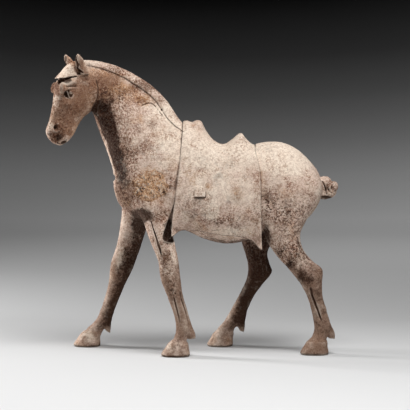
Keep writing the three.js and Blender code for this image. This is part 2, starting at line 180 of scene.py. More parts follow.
RIGHT_FORELEG = [
    [-98, 314, -60, 314, 14, 20],
    [-111, 280, -48, 280, 24, 29],
    [-112, 245, -54, 238, 23, 36],
    [-114.5, 208, -70, 200, 19, 41],
    [-121.5, 166, -84, 158, 16, 44, 2.1],
    [-131.5, 134, -97, 124, 14, 45, 2.2],
    [-135, 104, -110, 97, 12, 46, 2.3],
    [-143, 74, -120.5, 72, 10, 47, 2.2],
    [-152, 49, -129, 50, 9.4, 47, 2.1],
    [-161, 36, -133, 38, 10.5, 47, 2.1],
    [-171, 27, -143, 27, 11.5, 47],
    [-177, 17, -149, 17, 12.5, 47],
]
LEFT_HINDLEG = [
    [132, 306, 178, 303, 16, -18],
    [113, 275, 202, 270, 29, -26],
    [109, 240, 200, 242, 30.5, -30, 2.1],
    [113, 206, 183, 212, 26, -34, 2.1],
    [121, 178, 173, 189, 21, -36, 2.1],
    [136, 155, 178, 165, 16.5, -38, 2.1],
    [152, 137.5, 192, 147, 13.5, -39, 2.2],
    [165, 122, 207.5, 134, 12.5, -40, 2.3, 0.15],
    [176, 107, 207.5, 114, 11.5, -40.5, 2.3],
    [185.5, 87, 208.5, 92, 9.8, -41, 2.2],
    [192, 63, 216, 64, 9.4, -41, 2.1],
    [195.5, 43, 221, 43, 10.5, -41, 2.1],
    [194, 31, 217, 31, 11, -41],
    [187.5, 18, 214, 18, 12, -41],
]
RIGHT_HINDLEG = [
    [126, 306, 176, 303, 16, 18],
    [106, 275, 199, 270, 29, 26],
    [95, 238, 192, 240, 30.5, 30, 2.1],
    [86, 205, 166, 206, 26, 34, 2.1],
    [81, 176, 138, 180, 21, 38, 2.1],
    [88, 151, 124.5, 154, 16.5, 42, 2.1],
    [92.5, 133, 127, 135, 13.5, 43, 2.2],
    [92, 118, 131, 120, 12.5, 44, 2.3, 0.15],
    [88, 103, 118, 103, 11.5, 45, 2.3],
    [78, 82, 103, 82, 9.8, 46, 2.2],
    [66, 60, 92, 59, 9.4, 47, 2.1],
    [52, 37, 85.5, 38, 10.5, 48, 2.1],
    [44, 28, 71, 28, 11.5, 48],
    [39, 18, 68, 18, 12.5, 48],
]
LEGS = (LEFT_FORELEG, RIGHT_FORELEG, LEFT_HINDLEG, RIGHT_HINDLEG)
# Each hoof: [toe x, heel x, middle y, crown front x, crown back x].
HOOVES = [
    [-45.8, -2.5, -60, -34, -6],
    [-191.5, -150.3, 47, -180, -149],
    [174.5, 217.5, -41, 186, 215],
    [27, 67, 48, 37, 69],
]
# The tuft behind each fetlock, as four pairs of front and back points going down, and its middle y.
TUFTS = [
    [[-21, 62], [-6, 59], [-19, 47], [1, 46], [-11, 34], [6.5, 34], [-4, 25], [7, 26], -60],
    [[-149, 58], [-128, 54], [-149, 45], [-131, 43], [-145, 32], [-132.5, 29], [-140, 23], [-133.5, 19.5],
     47],
    [[197, 62], [213, 59], [203, 47], [222, 45], [213, 33], [228, 31.5], [219, 23.5], [228, 23], -41],
    [[69, 58], [89, 52], [68, 46], [88, 42], [74, 33], [87, 30], [79, 23.5], [86, 20.5], 48],
]
TUFT_HALF_WIDTHS = [7, 8, 6.5, 3]
EAR_BASE = (-181, 18.5, 441)
EAR_TIP = (-194.5, 27, 473)
# The top line of the covered saddle, as [x, z, squareness of the section].
SADDLE_TOP = [
    [-15, 366.5, 1.7],
    [-7, 368.6, 1.7],
    [1, 366, 1.7],
    [9, 369, 1.6],
    [16, 367, 1.6],
    [24, 352, 1.8],
    [37, 336, 2],
    [53, 331, 2.2],
    [66, 339, 2],
    [80.5, 348, 1.7],
    [87, 340, 1.8],
    [93, 334, 2],
    [101, 330, 2.1],
]
# The cloth's front edge and rear edge as [z, x], and its hem as [x, z].
CLOTH_FRONT = [[345, -13], [295, -18.5], [243, -25], [187, -31]]
CLOTH_REAR = [[330, 101], [295, 108], [234, 110], [167, 111.5]]
CLOTH_HEM = [[-31, 187], [-19, 194], [-5, 195.8], [12, 195.5], [40, 190], [80, 185], [96, 179], [111.5, 167]]
# Lines that are both cut and drawn, as pixels of the photograph.
MANE_EDGE = [(85, 65), (92, 66.4), (100, 68.4), (112, 72.4), (125, 78.4), (136, 85.6), (148.8, 94.4),
             (156, 101.6), (161.8, 110.4), (167.5, 118.8), (175, 126.2), (183, 131.6)]
CRACK = [(142.4, 105.6), (148.8, 103.2), (153.6, 104.8), (160, 112.8), (163.2, 116.4)]


def mix(a, b, share):
    return a + (b - a) * share


def smoothstep(low, high, value):
    t = np.clip((value - low) / (high - low), 0, 1)
    return t * t * (3 - 2 * t)


def smooth_rows(rows, keyed=False):
    """A smooth curve through rows of numbers, read along the first number or along the row index."""
    rows = np.array(sorted(rows) if keyed else rows, float)
    keys = rows[:, 0] if keyed else np.arange(len(rows), dtype=float)
    values = rows[:, 1:] if keyed else rows
    count = len(keys)

    def read(at):
        at = np.clip(np.asarray(at, float), keys[0], keys[-1])
        right = np.clip(np.searchsorted(keys, at, side="right"), 1, count - 1)
        left = right - 1
        low, high = keys[left], keys[right]
        before = np.where(left > 0, left - 1, right)
        after = np.where(right < count - 1, right + 1, left)
        before_key = np.where(left > 0, keys[np.maximum(left - 1, 0)], 2 * low - high)
        after_key = np.where(right < count - 1, keys[np.minimum(right + 1, count - 1)], 2 * high - low)
        pull = 0.5 * (high - low) / (low - before_key)
        push = 0.5 * (high - low) / (after_key - high)
        p = (at - low) / (high - low)
        p2, p3 = p * p, p * p * p
        weights = (
            -pull * p3 + 2 * pull * p2 - pull * p,
            (1 + pull) * p3 + (-1.5 - 2 * pull) * p2 + (-0.5 + pull) * p + 1,
            (-1 - push) * p3 + (1.5 + push) * p2 + 0.5 * p,
            push * p3 - push * p2,
        )
        near = (before, left, right, after)
        return sum(w[..., None] * values[i] for w, i in zip(weights, near))

    return read


def rounded(angle, squareness):
    """A point of a superellipse at an angle."""
    power = 2 / squareness
    cos, sin = np.cos(angle), np.sin(angle)
    return np.sign(cos) * np.abs(cos) ** power, np.sign(sin) * np.abs(sin) ** power


def turn_angle(x, z):
    run, rise = TURN_END[0] - TURN_START[0], TURN_END[1] - TURN_START[1]
    along = ((x - TURN_START[0]) * run + (z - TURN_START[1]) * rise) / (run * run + rise * rise)
    return HEAD_TURN * smoothstep(0, 1, along)


def swing(points, angle):
    """Points turned about the upright line at TURN_AXIS_X."""
    reach, side = points[..., 0] - TURN_AXIS_X, points[..., 1]
    cos, sin = np.cos(angle), np.sin(angle)
    return np.stack([TURN_AXIS_X + reach * cos - side * sin, reach * sin + side * cos, points[..., 2]], -1)


def turned(points):
    return swing(points, turn_angle(points[..., 0], points[..., 2]))


def straightened(points):
    """The points that turned() brings to these places."""
    straight = points
    for _ in range(12):
        straight = swing(points, -turn_angle(straight[..., 0], straight[..., 2]))
    return straight


def tube(rings):
    """Triangles that close rings of points, with a fan over each end. The rings are (rows, sides, 3)."""
    rows, sides, _ = rings.shape
    here = np.arange(rows * sides).reshape(rows, sides)
    a, d = here[:-1], here[1:]
    b, c = np.roll(a, -1, 1), np.roll(d, -1, 1)
    walls = [np.stack([a, b, c], -1).reshape(-1, 3), np.stack([a, c, d], -1).reshape(-1, 3)]
    points = np.concatenate([rings.reshape(-1, 3), rings[:1].mean(1), rings[-1:].mean(1)])
    for ring, middle in ((here[0], rows * sides), (here[-1], rows * sides + 1)):
        walls.append(np.stack([np.roll(ring, -1), ring, np.full(sides, middle)], -1))
    return points, np.concatenate(walls)


def tube_of_sheet(rings):
    """Closes a thick sheet whose rings run out along one face and back along the other."""
    rows, sides, _ = rings.shape
    here = np.arange(rows * sides).reshape(rows, sides)
    a, d = here[:-1], here[1:]
    b, c = np.roll(a, -1, 1), np.roll(d, -1, 1)
    outside = np.arange(sides)[None, :, None] < sides / 2
    first = np.where(outside, np.stack([a, b, c], -1), np.stack([a, b, d], -1))
    second = np.where(outside, np.stack([a, c, d], -1), np.stack([b, c, d], -1))
    walls = [first.reshape(-1, 3), second.reshape(-1, 3)]
    step = np.arange(sides // 2 - 1)
    e, f, g, h = step, step + 1, sides - 2 - step, sides - 1 - step
    for start in (0, (rows - 1) * sides):
        walls.append(start + np.stack([e, f, g], -1))
        walls.append(start + np.stack([e, g, h], -1))
    return rings.reshape(-1, 3), np.concatenate(walls)


def filled(stations):
    """Stations with the numbers that were left out at their ends."""
    return [row + [0, 2, 0][len(row) - 5:] for row in stations]


def limb(stations, rings_between=10, sides=64):
    rows = np.linspace(0, len(stations) - 1, (len(stations) - 1) * rings_between + 1)
    ax, az, bx, bz, wide, y, squareness, taper = smooth_rows(filled(stations))(rows).T[..., None]
    side, along = rounded(np.linspace(0, 2 * np.pi, sides, endpoint=False), squareness)
    share = (1 + along) / 2
    ring = np.stack([mix(ax, bx, share), y + side * wide * (1 - taper * along), mix(az, bz, share)], -1)
    return tube(ring)


def hoof(toe, heel, y, crown_front, crown_back):
    slope, tuck = crown_front - toe, heel - crown_back
    # Each level: share of the height, how far front and back draw in, and share of the width.
    levels = smooth_rows([
        [0, 0, 0, 0.94],
        [0.12, -1.2, -0.6, 1],
        [0.5, slope * 0.4, tuck * 0.3, 0.92],
        [0.82, slope * 0.85, tuck * 0.6, 0.78],
        [1, slope + 3, tuck + 2, 0.58],
    ], keyed=True)
    heights = np.linspace(0, 1, 24)
    front, back, share = levels(heights).T[..., None]
    cos, sin = rounded(np.linspace(0, 2 * np.pi, 64, endpoint=False), HOOF_SQUARENESS)
    x = mix(toe + front, heel - back, (1 + cos) / 2)
    z = np.broadcast_to(GROUND + heights[:, None] * HOOF_HEIGHT, x.shape)
    return tube(np.stack([x, y + sin * HOOF_HALF_WIDTH * share, z], -1))


def tuft(*points):
    y = points[-1]
    pairs = zip(points[0:8:2], points[1:8:2], TUFT_HALF_WIDTHS)
    return limb([[*front, *back, wide, y] for front, back, wide in pairs])


torso_at = smooth_rows([[(row[0] + row[2]) / 2, *row[1:]] for row in filled(TORSO)], keyed=True)
cloth_front = smooth_rows(CLOTH_FRONT, keyed=True)
cloth_rear = smooth_rows(CLOTH_REAR, keyed=True)
cloth_hem = smooth_rows(CLOTH_HEM, keyed=True)
saddle_top = smooth_rows(SADDLE_TOP, keyed=True)


def flank(x, z):
    """Half width of the barrel at a place on the flank."""
    low, _, high, wide, _, squareness, taper = np.moveaxis(torso_at(x), -1, 0)
    along = np.clip((2 * z - low - high) / (high - low), -0.999, 0.999)
    return wide * (1 - taper * along) * (1 - np.abs(along) ** squareness) ** (1 / squareness)


def drape_points(s, t):
    """The cloth's outer face and how free it hangs: s from front to rear, t from spine to hem."""
    arch = np.minimum(1, t / ARCH_SHARE)
    drop = np.maximum(0, (t - ARCH_SHARE) / (1 - ARCH_SHARE))
    edge_z = mix(mix(SADDLE_HIGH_Z, SHOULDER_Z, arch), HEM_MEAN_Z, drop)
    x = mix(cloth_front(edge_z)[..., 0], cloth_rear(edge_z)[..., 0], s)
    top_z, squareness = np.moveaxis(saddle_top(x), -1, 0)
    side, up = rounded((1 - arch) * (np.pi / 2), squareness)
    over_y = side * (flank(x, SHOULDER_Z) + CLOTH_LIFT)
    over_z = SHOULDER_Z + up * (top_z - SHOULDER_Z)
    low = mix(SHOULDER_Z, cloth_hem(x)[..., 0], drop)
    free = (np.maximum(0, 1 - s / FREE_FRONT) + np.maximum(0, 1 - (1 - s) / FREE_REAR)) * drop
    cling = flank(x, low) + CLOTH_LIFT
    widest = flank(x, np.maximum(low, BARREL_WIDEST_Z)) + CLOTH_LIFT
    hang = widest + CORNER_FLARE * drop ** 2
    loose = mix(MIDDLE_LOOSE, 1, np.minimum(1, free) ** 1.3)
    hang_y = mix(cling, np.maximum(cling, hang), loose)
    over = drop == 0
    return np.stack([x, np.where(over, over_y, hang_y), np.where(over, over_z, low)], -1), free


def drape_sheet(columns, rows=90):
    """The cloth's outer face, from front to rear and from hem to hem, how free it hangs, and how far
    each place is from the spine. The crease between the saddle and the flank is evened."""
    t = np.abs(np.linspace(-1, 1, 2 * rows + 1))[None]
    s = np.linspace(0, 1, columns + 1)[:, None]
    s, t = np.broadcast_arrays(s, t)
    outer, free = drape_points(s, t)
    softened = outer.copy()
    for _ in range(60):
        softened[:, 1:-1] = (softened[:, :-2] + 2 * softened[:, 1:-1] + softened[:, 2:]) / 4
    near_crease = 1 - smoothstep(0.04, 0.2, np.abs(t - ARCH_SHARE - 0.02))
    return mix(outer, softened, near_crease[..., None]), free, t


def drape(columns=120):
    """The saddle and its cloth: one thick sheet, with its inner face deep in the body except at the
    free corners."""
    outer, free, t = drape_sheet(columns)
    rows = outer.shape[1] // 2
    arch = (1 - smoothstep(ARCH_SHARE * 0.7, ARCH_SHARE * 1.4, t))[..., None]
    thick = mix(4 * CLOTH_THICK, CLOTH_THICK, np.minimum(1, free * 3))
    deep = np.stack([outer[..., 0], outer[..., 1] / 2, (outer[..., 2] + BARREL_WIDEST_Z) / 2], -1)
    inner = outer - thick[..., None] * np.array([0, 1, 0])
    inner = mix(inner, deep, arch)
    for face in (outer, inner):
        face[:, :rows, 1] *= -1
    return tube_of_sheet(np.concatenate([outer, inner[:, ::-1]], 1))


def drape_edges():
    """The cloth's front edge and rear edge, from the spine to the hem of one side."""
    outer = drape_sheet(1)[0]
    return outer[:, outer.shape[1] // 2:]


# The grid of distances. Its first cell is at LOW, in the straight frame where the head looks ahead.
LOW = np.array([-262.0, -90.0, -8.0])
HIGH = np.array([244.0, 92.0, 484.0])
SHAPE = np.ceil((HIGH - LOW) / GRID).astype(int)
LOW_CELL = np.round(LOW / GRID).astype(int)
LOW = LOW_CELL * GRID
clay = np.full(SHAPE, FAR, np.float32)


def block(low, high, margin):
    """The slices of the grid that hold a box, and the box's first cell."""
    start = np.clip(np.floor((low - margin - LOW) / GRID).astype(int), 0, SHAPE - 1)
    stop = np.clip(np.ceil((high + margin - LOW) / GRID).astype(int) + 1, 1, SHAPE)
    return tuple(slice(a, b) for a, b in zip(start, stop)), start


def blend_in(where, distance, blend, cut=False):
    """Joins a form to the clay, or cuts it out, with a fillet about as wide as blend."""
    sign = -1 if cut else 1
    old = sign * clay[where]
    fillet = np.maximum(blend - np.abs(old - distance), 0)
    clay[where] = sign * (np.minimum(old, distance) - fillet * fillet / (4 * blend))


def distance_to(points, triangles, band):
    """The block of the grid round a closed mesh, and its signed distances there."""
    transform = openvdb.createLinearTransform(voxelSize=GRID)
    grid = openvdb.FloatGrid.createLevelSetFromPolygons(
        points.astype(np.float32),
        triangles=triangles.astype(np.uint32),
        transform=transform,
        halfWidth=band / GRID,
    )
    where, start = block(points.min(0), points.max(0), band)
    distance = np.empty([s.stop - s.start for s in where], np.float32)
    grid.copyToArray(distance, ijk=tuple(int(v) for v in start + LOW_CELL))
    distance[distance >= band * 0.999] = FAR
    return where, distance


def add(mesh, blend, straight=True):
    """Joins a closed mesh to the clay. One that doesn't turn with the head is straightened first."""
    points, triangles = mesh
    if not straight:
        points = straightened(points)
    where, distance = distance_to(points, triangles, max(blend, 8) + 2 * GRID)
    blend_in(where, distance, blend)


def cells(where):
    """The places of a block's cells, as three arrays that broadcast against each other."""
    return [
        (LOW[k] + GRID * np.arange(where[k].start, where[k].stop)).reshape(np.where(np.arange(3) == k, -1, 1))
        for k in range(3)
    ]


def stroke(points, radius, blend=1.5, cut=True, bend=True):
    """Draws a worm of clay along a line, or cuts a groove. radius may be one for each point."""
    points = np.asarray(points, float)
    radii = np.broadcast_to(np.asarray(radius, float), len(points))
    if bend and len(points) > 2:
        along = np.linspace(0, len(points) - 1, 5 * len(points))
        line = smooth_rows(np.column_stack([points, radii]))(along)
        points, radii = line[:, :3], np.maximum(line[:, 3], 0.3)
    margin = radii.max() + blend + 2 * GRID
    where, _ = block(points.min(0), points.max(0), margin)
    x, y, z = cells(where)
    distance = np.full(clay[where].shape, FAR, np.float32)
    for p, q, r, s in zip(points[:-1], points[1:], radii[:-1], radii[1:]):
        part, _ = block(np.minimum(p, q), np.maximum(p, q), margin)
        inner = tuple(slice(a.start - b.start, a.stop - b.start) for a, b in zip(part, where))
        dx, dy, dz = x[inner[0]] - p[0], y[:, inner[1]] - p[1], z[:, :, inner[2]] - p[2]
        run = q - p
        share = np.clip((dx * run[0] + dy * run[1] + dz * run[2]) / max(run @ run, 1e-6), 0, 1)
        off = np.sqrt((dx - share * run[0]) ** 2 + (dy - share * run[1]) ** 2 + (dz - share * run[2]) ** 2)
        distance[inner] = np.minimum(distance[inner], off - mix(r, s, share))
    blend_in(where, distance, blend, cut)


def ball(middle, radii, lean=0.0, blend=2.0, cut=False):
    """Joins or cuts a ball squashed to three half sizes and leaned in the x-z plane."""
    middle, radii = np.asarray(middle, float), np.asarray(radii, float)
    reach = np.full(3, radii.max())
    where, _ = block(middle - reach, middle + reach, blend + 2 * GRID)
    dx, dy, dz = (c - m for c, m in zip(cells(where), middle))
    cos, sin = math.cos(lean), math.sin(lean)
    u, w = dx * cos - dz * sin, dx * sin + dz * cos
    size = np.sqrt((u / radii[0]) ** 2 + (dy / radii[1]) ** 2 + (w / radii[2]) ** 2)
    slope = np.sqrt((u / radii[0] ** 2) ** 2 + (dy / radii[1] ** 2) ** 2 + (w / radii[2] ** 2) ** 2)
    distance = (size * (size - 1) / np.maximum(slope, 1e-6)).astype(np.float32)
    blend_in(where, distance, blend, cut)


def cell_corners(share):
    """The corners of a cell, each with its weight at places that are a share of the way across."""
    for i, j, k in np.ndindex(2, 2, 2):
        weight = np.abs(1 - i - share[..., 0]) * np.abs(1 - j - share[..., 1]) * np.abs(1 - k - share[..., 2])
        yield (i, j, k), weight


def sample(field, points):
    """The field's values at places in the straight frame."""
    at = np.clip((points - LOW) / GRID, 0, SHAPE - 1.001)
    cell = at.astype(int)
    total = 0
    for corner, weight in cell_corners(at - cell):
        total = total + weight * field[tuple(np.moveaxis(cell + corner, -1, 0))]
    return total


def seen(px, py, sink=0.0):
    """The place on the clay that shows at a pixel of the photograph, in the straight frame."""
    tip = math.atan2(EYE[2] - AIM[2], AIM[1] - EYE[1])
    ahead = np.array([0, math.cos(tip), -math.sin(tip)])
    up = np.array([0, math.sin(tip), math.cos(tip)])
    middle = PHOTO_SIDE / 2
    ray = ahead + up * (middle - py) / FOCAL + np.array([1, 0, 0]) * (px - middle) / FOCAL
    line = straightened(EYE + ray * SIGHT_DEPTHS)
    inside = np.nonzero(sample(clay, line) < -sink)[0]
    if len(inside) == 0:
        raise ValueError(f"nothing of the figure shows at {px}, {py}")
    return line[inside[0]]


def seen_line(*pixels, sink=0.0):
    return np.array([seen(px, py, sink) for px, py in pixels])


def close_line(*pixels):
    """The places along a line of pixels, close enough together to follow a round surface."""
    corners = np.arange(len(pixels))
    steps = np.linspace(0, len(pixels) - 1, 5 * len(pixels))
    return seen_line(*zip(*(np.interp(steps, corners, along) for along in zip(*pixels))))


BOTH = (np.array([1, 1, 1]), np.array([1, -1, 1]))
NEAR_SIDE = BOTH[:1]


def groove(line, radius, blend=1.5):
    """Cuts a groove on both sides of the figure."""
    for side in BOTH:
        stroke(line * side, radius, blend)


def ridge(line, radius, blend=2.0):
    for side in BOTH:
        stroke(line * side, radius, blend, cut=False)


INWARD = np.array([0, 1, 0])


def slit(line, radius, depth, inward=INWARD, sides=BOTH):
    """Cuts a groove that is deeper than it is wide."""
    for side in sides:
        for sink in np.arange(0, depth + 0.1, 1.3 * GRID):
            stroke((line + sink * np.asarray(inward)) * side, radius, 0.5)


def lumps(middle, radii, lean=0.0, blend=2.0, cut=False):
    for side in BOTH:
        ball(np.asarray(middle) * side, radii, lean, blend, cut)


def leg_line(stations, first, share, side=1):
    """A line down a side of a leg, over three stations, share of the way to its back edge."""
    rows = np.array(filled(stations)[first:first + 3], float)
    around = 2 * share - 1
    out = side * rows[:, 4] * (1 - around ** 2) ** 0.5
    return np.column_stack([mix(rows[:, 0], rows[:, 2], share), rows[:, 5] + out,
                            mix(rows[:, 1], rows[:, 3], share)])


def model_body():
    add(limb(TORSO), 1, straight=False)
    add(limb(NECK), 14)
    for leg in LEGS:
        add(limb(leg), 10, straight=False)
    add(limb(HEAD), 5)
    soften(150, 200)
    for sizes in HOOVES:
        add(hoof(*sizes), 3, straight=False)
    for sizes in TUFTS:
        add(tuft(*sizes), 3, straight=False)
    # The crease across the chest between the foot of the neck and the breast.
    stroke([(-112, -28, 276), (-120.5, -14, 277), (-125, 0, 277.5), (-120.5, 14, 277), (-112, 28, 276)],
           [2, 3.6, 4.6, 3.6, 2], 3)
    # The docked tail: a lock folded into a bun and bound at its root.
    ball((210, 0, 262), (8, 11, 17), 0.1, 4)
    ball((214.5, 0, 267), (10.5, 12, 12), 0.3, 1.5)
    ball((227, 0, 262), (8.5, 10, 9.5), 0.4, 1.5)
    ball((220, 0, 252.5), (13, 11, 9), -0.2, 1.5)
    ball((213, 0, 250.5), (10, 9, 8.5), 0, 1.5)
    stroke([(228, -7, 270), (221, -11, 262), (224, -9.5, 255)], [1, 2, 1], 1.2, cut=False)


def soften(low_z, full_z, passes=3):
    """Smooths the clay's joins above a height and ahead of the tail, where nothing is thin."""
    global clay
    band = 8
    smooth = np.clip(clay, -band, band)
    for _ in range(passes):
        for axis in range(3):
            ahead, behind = np.roll(smooth, 1, axis), np.roll(smooth, -1, axis)
            two, back = np.roll(smooth, 2, axis), np.roll(smooth, -2, axis)
            smooth = (ahead + behind + two + back + smooth) / 5
    z = LOW[2] + GRID * np.arange(SHAPE[2])
    x = LOW[0] + GRID * np.arange(SHAPE[0])
    share = smoothstep(low_z, full_z, z)[None, None] * (1 - smoothstep(*TAIL_ROOT, x))[:, None, None]
    clay = mix(np.clip(clay, -band, band), smooth, share.astype(np.float32))


# The engraved tendons of the near legs, and last the deep fold that parts the near forearm from the
# elbow's muscle: radii, depth, and pixels of the photograph along each.
ENGRAVED = [
    [[0.5, 1.2, 1.1, 0.9, 0.5], 2.2, (173.4, 296), (175.2, 303.5), (177.3, 311.5), (179, 318), (180.4, 324)],
    [[0.5, 1.1, 1.3, 1.2, 0.5], 1.6, (179.6, 291), (181.6, 300), (184.2, 308), (186.6, 316), (188.8, 325)],
    [[0.4, 0.9, 0.5], 0.8, (176.6, 266), (177, 277), (177.3, 288)],
    [[0.6, 1.6, 1.8, 1.4, 0.6], 2.6, (310, 289), (313, 298), (316.2, 306.5), (319.2, 314.5), (321.4, 321)],
    [[0.6, 1.4, 1.4, 0.6], 1.3, (296.8, 238), (299, 246), (302.6, 253), (308, 259.5)],
    [[0.5, 1, 1.2, 1.5, 1.9, 1.5, 0.6], 4.5, (150, 218), (152.2, 225), (154.4, 232), (156.6, 239),
     (158.6, 245.5), (160.2, 251), (161.4, 256)],
]


def model_legs():
    for leg in (RIGHT_FORELEG, LEFT_FORELEG):
        for share in (0.62, 0.25):
            stroke(leg_line(leg, 7, share), [0.8, 1.5, 0.8], 2.5)
    stroke(leg_line(RIGHT_FORELEG, 3, 0.55), [0.6, 1.2, 0.6], 4)
    for leg in (LEFT_HINDLEG, RIGHT_HINDLEG):
        for side in (1, -1):
            stroke(leg_line(leg, 5, 0.72, side), [1, 1.8, 0.8], 3)
    for leg in (RIGHT_HINDLEG, LEFT_HINDLEG):
        stroke(leg_line(leg, 8, 0.6), [0.8, 1.5, 0.8], 2.5)
    for radii, depth, *pixels in ENGRAVED:
        slit(seen_line(*pixels), radii, depth, sides=NEAR_SIDE)
    stroke(seen_line((162.8, 211.5), (165.4, 214.4), (168.4, 217)), [0.8, 1.5, 1.5], 1)


# The grooves beside the cloth's front edge and rear edge: which way each lies from the edge, and its
# radius going down, as [z, radius].
EDGE_GROOVES = [
    [-1, [366, 0.5], [330, 0.9], [300, 1.3], [276, 1.9], [253, 2.3], [240, 2.7], [226, 3], [212, 3.3],
     [196, 3.4]],
    [1, [330, 0.5], [300, 0.6], [270, 0.7], [240, 0.9], [215, 1.6], [190, 2.4], [175, 2.6]],
]


def cut_cloth_edges():
    edges = drape_edges()
    for side in BOTH:
        for edge, (ahead, *steps) in zip(edges, EDGE_GROOVES):
            levels, radii = np.array(steps).T
            width = np.interp(-edge[:, 2], -levels, radii)
            inward = np.column_stack([ahead * (width + 0.3), -0.8 * width, np.full(len(edge), -0.3)])
            for sink in (0, 1.2, 2.4):
                line = edge + inward
                line[:, 1] -= sink * smoothstep(335, 300, edge[:, 2])
                stroke(straightened(line * side), width, 0.6, bend=False)


def model_cloth():
    # The deep gap behind the near elbow, under the cloth's front corner.
    gap = seen_line((176.2, 194), (174.9, 203), (173.2, 210), (171.8, 215), (170.2, 220), (168.8, 226),
                    (167.6, 232), (166.8, 236.5))
    foot = seen_line((166.2, 237.6), (169, 239), (171.6, 240))
    slit(gap, [0.8, 1.4, 2.2, 2.9, 4, 5, 5.8, 6.6], 15, sides=NEAR_SIDE)
    slit(foot, [6.2, 5.2, 4.4], 10, sides=NEAR_SIDE)
    # The gap behind the far elbow is a plain hollow.
    ball((-66, 56, 204), (9, 14, 18), 0.2, 2, cut=True)
    add(drape(), 0.8, straight=False)
    cut_cloth_edges()
    # The hollow behind the near rear corner of the cloth.
    ball(seen(265.5, 239) + [0, -3, 0], (6, 8, 17), -0.1, 4, cut=True)
    groove(seen_line((184.6, 124), (184.8, 128), (184.2, 132)), 1, 0.8)


def strap_keeper(side):
    """A small tab on each flank, flush above and proud below, with a slot under it."""
    x, z, half_long, half_high, proud, sunk = 14, 258.7, 8.6, 8, 3.5, 8
    face = flank(x, z) + CLOTH_LIFT
    rings = [
        [
            [px, side * (face - sunk), z - half_high],
            [px, side * (face + proud), z - half_high],
            [px, side * (face + 0.4), z + half_high],
            [px, side * (face - sunk), z + half_high],
        ]
        for px in (x - half_long, x + half_long)
    ]
    add(tube(np.array(rings)), 0.8, straight=False)
    slot = [[x - half_long + 0.5, side * face, z - half_high - 1.2],
            [x + half_long - 0.5, side * face, z - half_high - 1.2]]
    stroke(slot, 1.9, 0.6)
    for px in (x - half_long - 0.8, x + half_long + 0.8):
        stroke([[px, side * (face + 0.4), z - half_high], [px, side * (face + 0.4), z + half_high]], 0.9, 0.5)


def ear(side):
    # Each level of the ear: share of its length, half depth and half width.
    levels = [
        [0, 9.2, 7.8],
        [0.25, 9.3, 7.8],
        [0.5, 8.2, 7.2],
        [0.7, 6.7, 6],
        [0.86, 4.7, 4.3],
        [0.95, 2.6, 2.4],
        [1, 1.2, 1.2],
    ]

    def leaf(shrink, forward, outward):
        stations = []
        for share, deep, wide in levels:
            x = mix(EAR_BASE[0], EAR_TIP[0], share) - forward * deep
            y = side * (mix(EAR_BASE[1], EAR_TIP[1], share) + outward * wide)
            z = mix(EAR_BASE[2], EAR_TIP[2], share)
            stations.append([x - deep * shrink, z, x + deep * shrink, z + 1, wide * shrink, y])
        return limb(stations, 8, 40)

    add(leaf(1, 0, 0), 2)
    where, distance = distance_to(*leaf(0.5, 0.76, 0.12), 4)
    blend_in(where, distance, 0.5, cut=True)


def model_eye():
    """A heavy lid over a deep socket with the eyeball at its upper edge."""
    middle = seen(68.5, 94)
    ball_middle = seen(71.2, 91.4, sink=2.5)
    rim = seen_line((68.3, 88.6), (71.5, 88.3), (75, 89.2))
    line = seen_line((66.8, 89.6), (68.2, 93.5), (69.8, 98))
    brow = seen(70, 83, sink=2.5)
    front = seen(62.4, 88, sink=2)
    under = seen(67, 103.5, sink=2.5)
    lumps(brow, (13, 7.5, 5), -0.2, 2.5)
    lumps(front, (5.5, 5, 9), 0.2, 3)
    lumps(under, (6.5, 4, 4), -0.3, 3)
    lumps(middle, (7.4, 7, 6.6), 0.5, 1.2, cut=True)
    lumps(ball_middle, (4.6, 3.6, 4.4), 0, 0.8)
    ridge(rim + [0, 0.6, 0], [0.9, 1.3, 0.7], 1)
    ridge(line + [0, 1.2, 0], [1.2, 1.1, 0.8], 0.5)
    groove(close_line((66.4, 87), (70, 86.2), (76.6, 86.4)), 1.3, 0.6)


def model_mouth():
    nostril = seen(55.6, 127.2)
    rim = seen_line((53.6, 131), (56.2, 132.2), (59.4, 130.4))
    wing = seen_line((57.8, 123.6), (60.2, 126), (60.6, 129))
    lumps(nostril, (3.2, 6, 4.2), 0.4, 1, cut=True)
    ridge(rim, 2.2, 1)
    ridge(wing, 2, 1.2)
    slit(seen_line((57.6, 142.6), (60.4, 143), (62.4, 142.8), (64.4, 142), (66.4, 140.4)),
         [0.8, 2.2, 3.8, 3.9, 1.8], 5)
    groove(seen_line((69, 130.6), (69.6, 134)), [1.6, 1.4], 1.2)


def model_head():
    add(limb(MANE), 1.2)
    # The forehead sinks between the brows, below the forelock.
    lumps((-208, -16, 421.5), (10, 7.5, 5.5), 0.1, 4)
    lumps((-211, -15.5, 420), (9.5, 7, 8.5), 0.2, 4)
    hollow = seen(61.4, 82)
    add(limb(FORELOCK), 1)
    under = seen_line((56.6, 79.4), (60, 80.6), (64, 79.8), (68, 78.6), (72, 77.4), (76.4, 76.6))
    slit(under, [1, 2.3, 2.8, 2.1, 1.5, 0.8], 5, inward=(0.55, 0.8, 0.2), sides=NEAR_SIDE)
    slit(under[:4], [1, 2.3, 2.8, 2.1], 5, inward=(0.55, 0.8, 0.2), sides=BOTH[1:])
    ball(hollow + [0.5, 2.5, 1], (6.5, 9, 5.6), -0.3, 1, cut=True)
    model_eye()
    model_mouth()
    for side in (1, -1):
        ear(side)
    slit(seen_line((78, 67.4), (79.4, 69.8), (81.2, 71.2), (83.2, 72.6)), [1.3, 1.6, 1.6, 0.9], 3)
    # The cheek stands proud of the neck along its round edge.
    edge = seen_line((97.6, 80), (99.6, 86), (100.2, 93), (98.8, 100), (96.4, 105.6), (94, 110.6))
    groove(edge + [10, -9, 0], [10, 14, 15, 14, 12, 8], 6)
    groove(edge + [0, -2.4, 0], [2, 4.6, 5.8, 6.2, 6, 5.4], 0.5)
    groove(close_line(*MANE_EDGE), 1, 0.5)


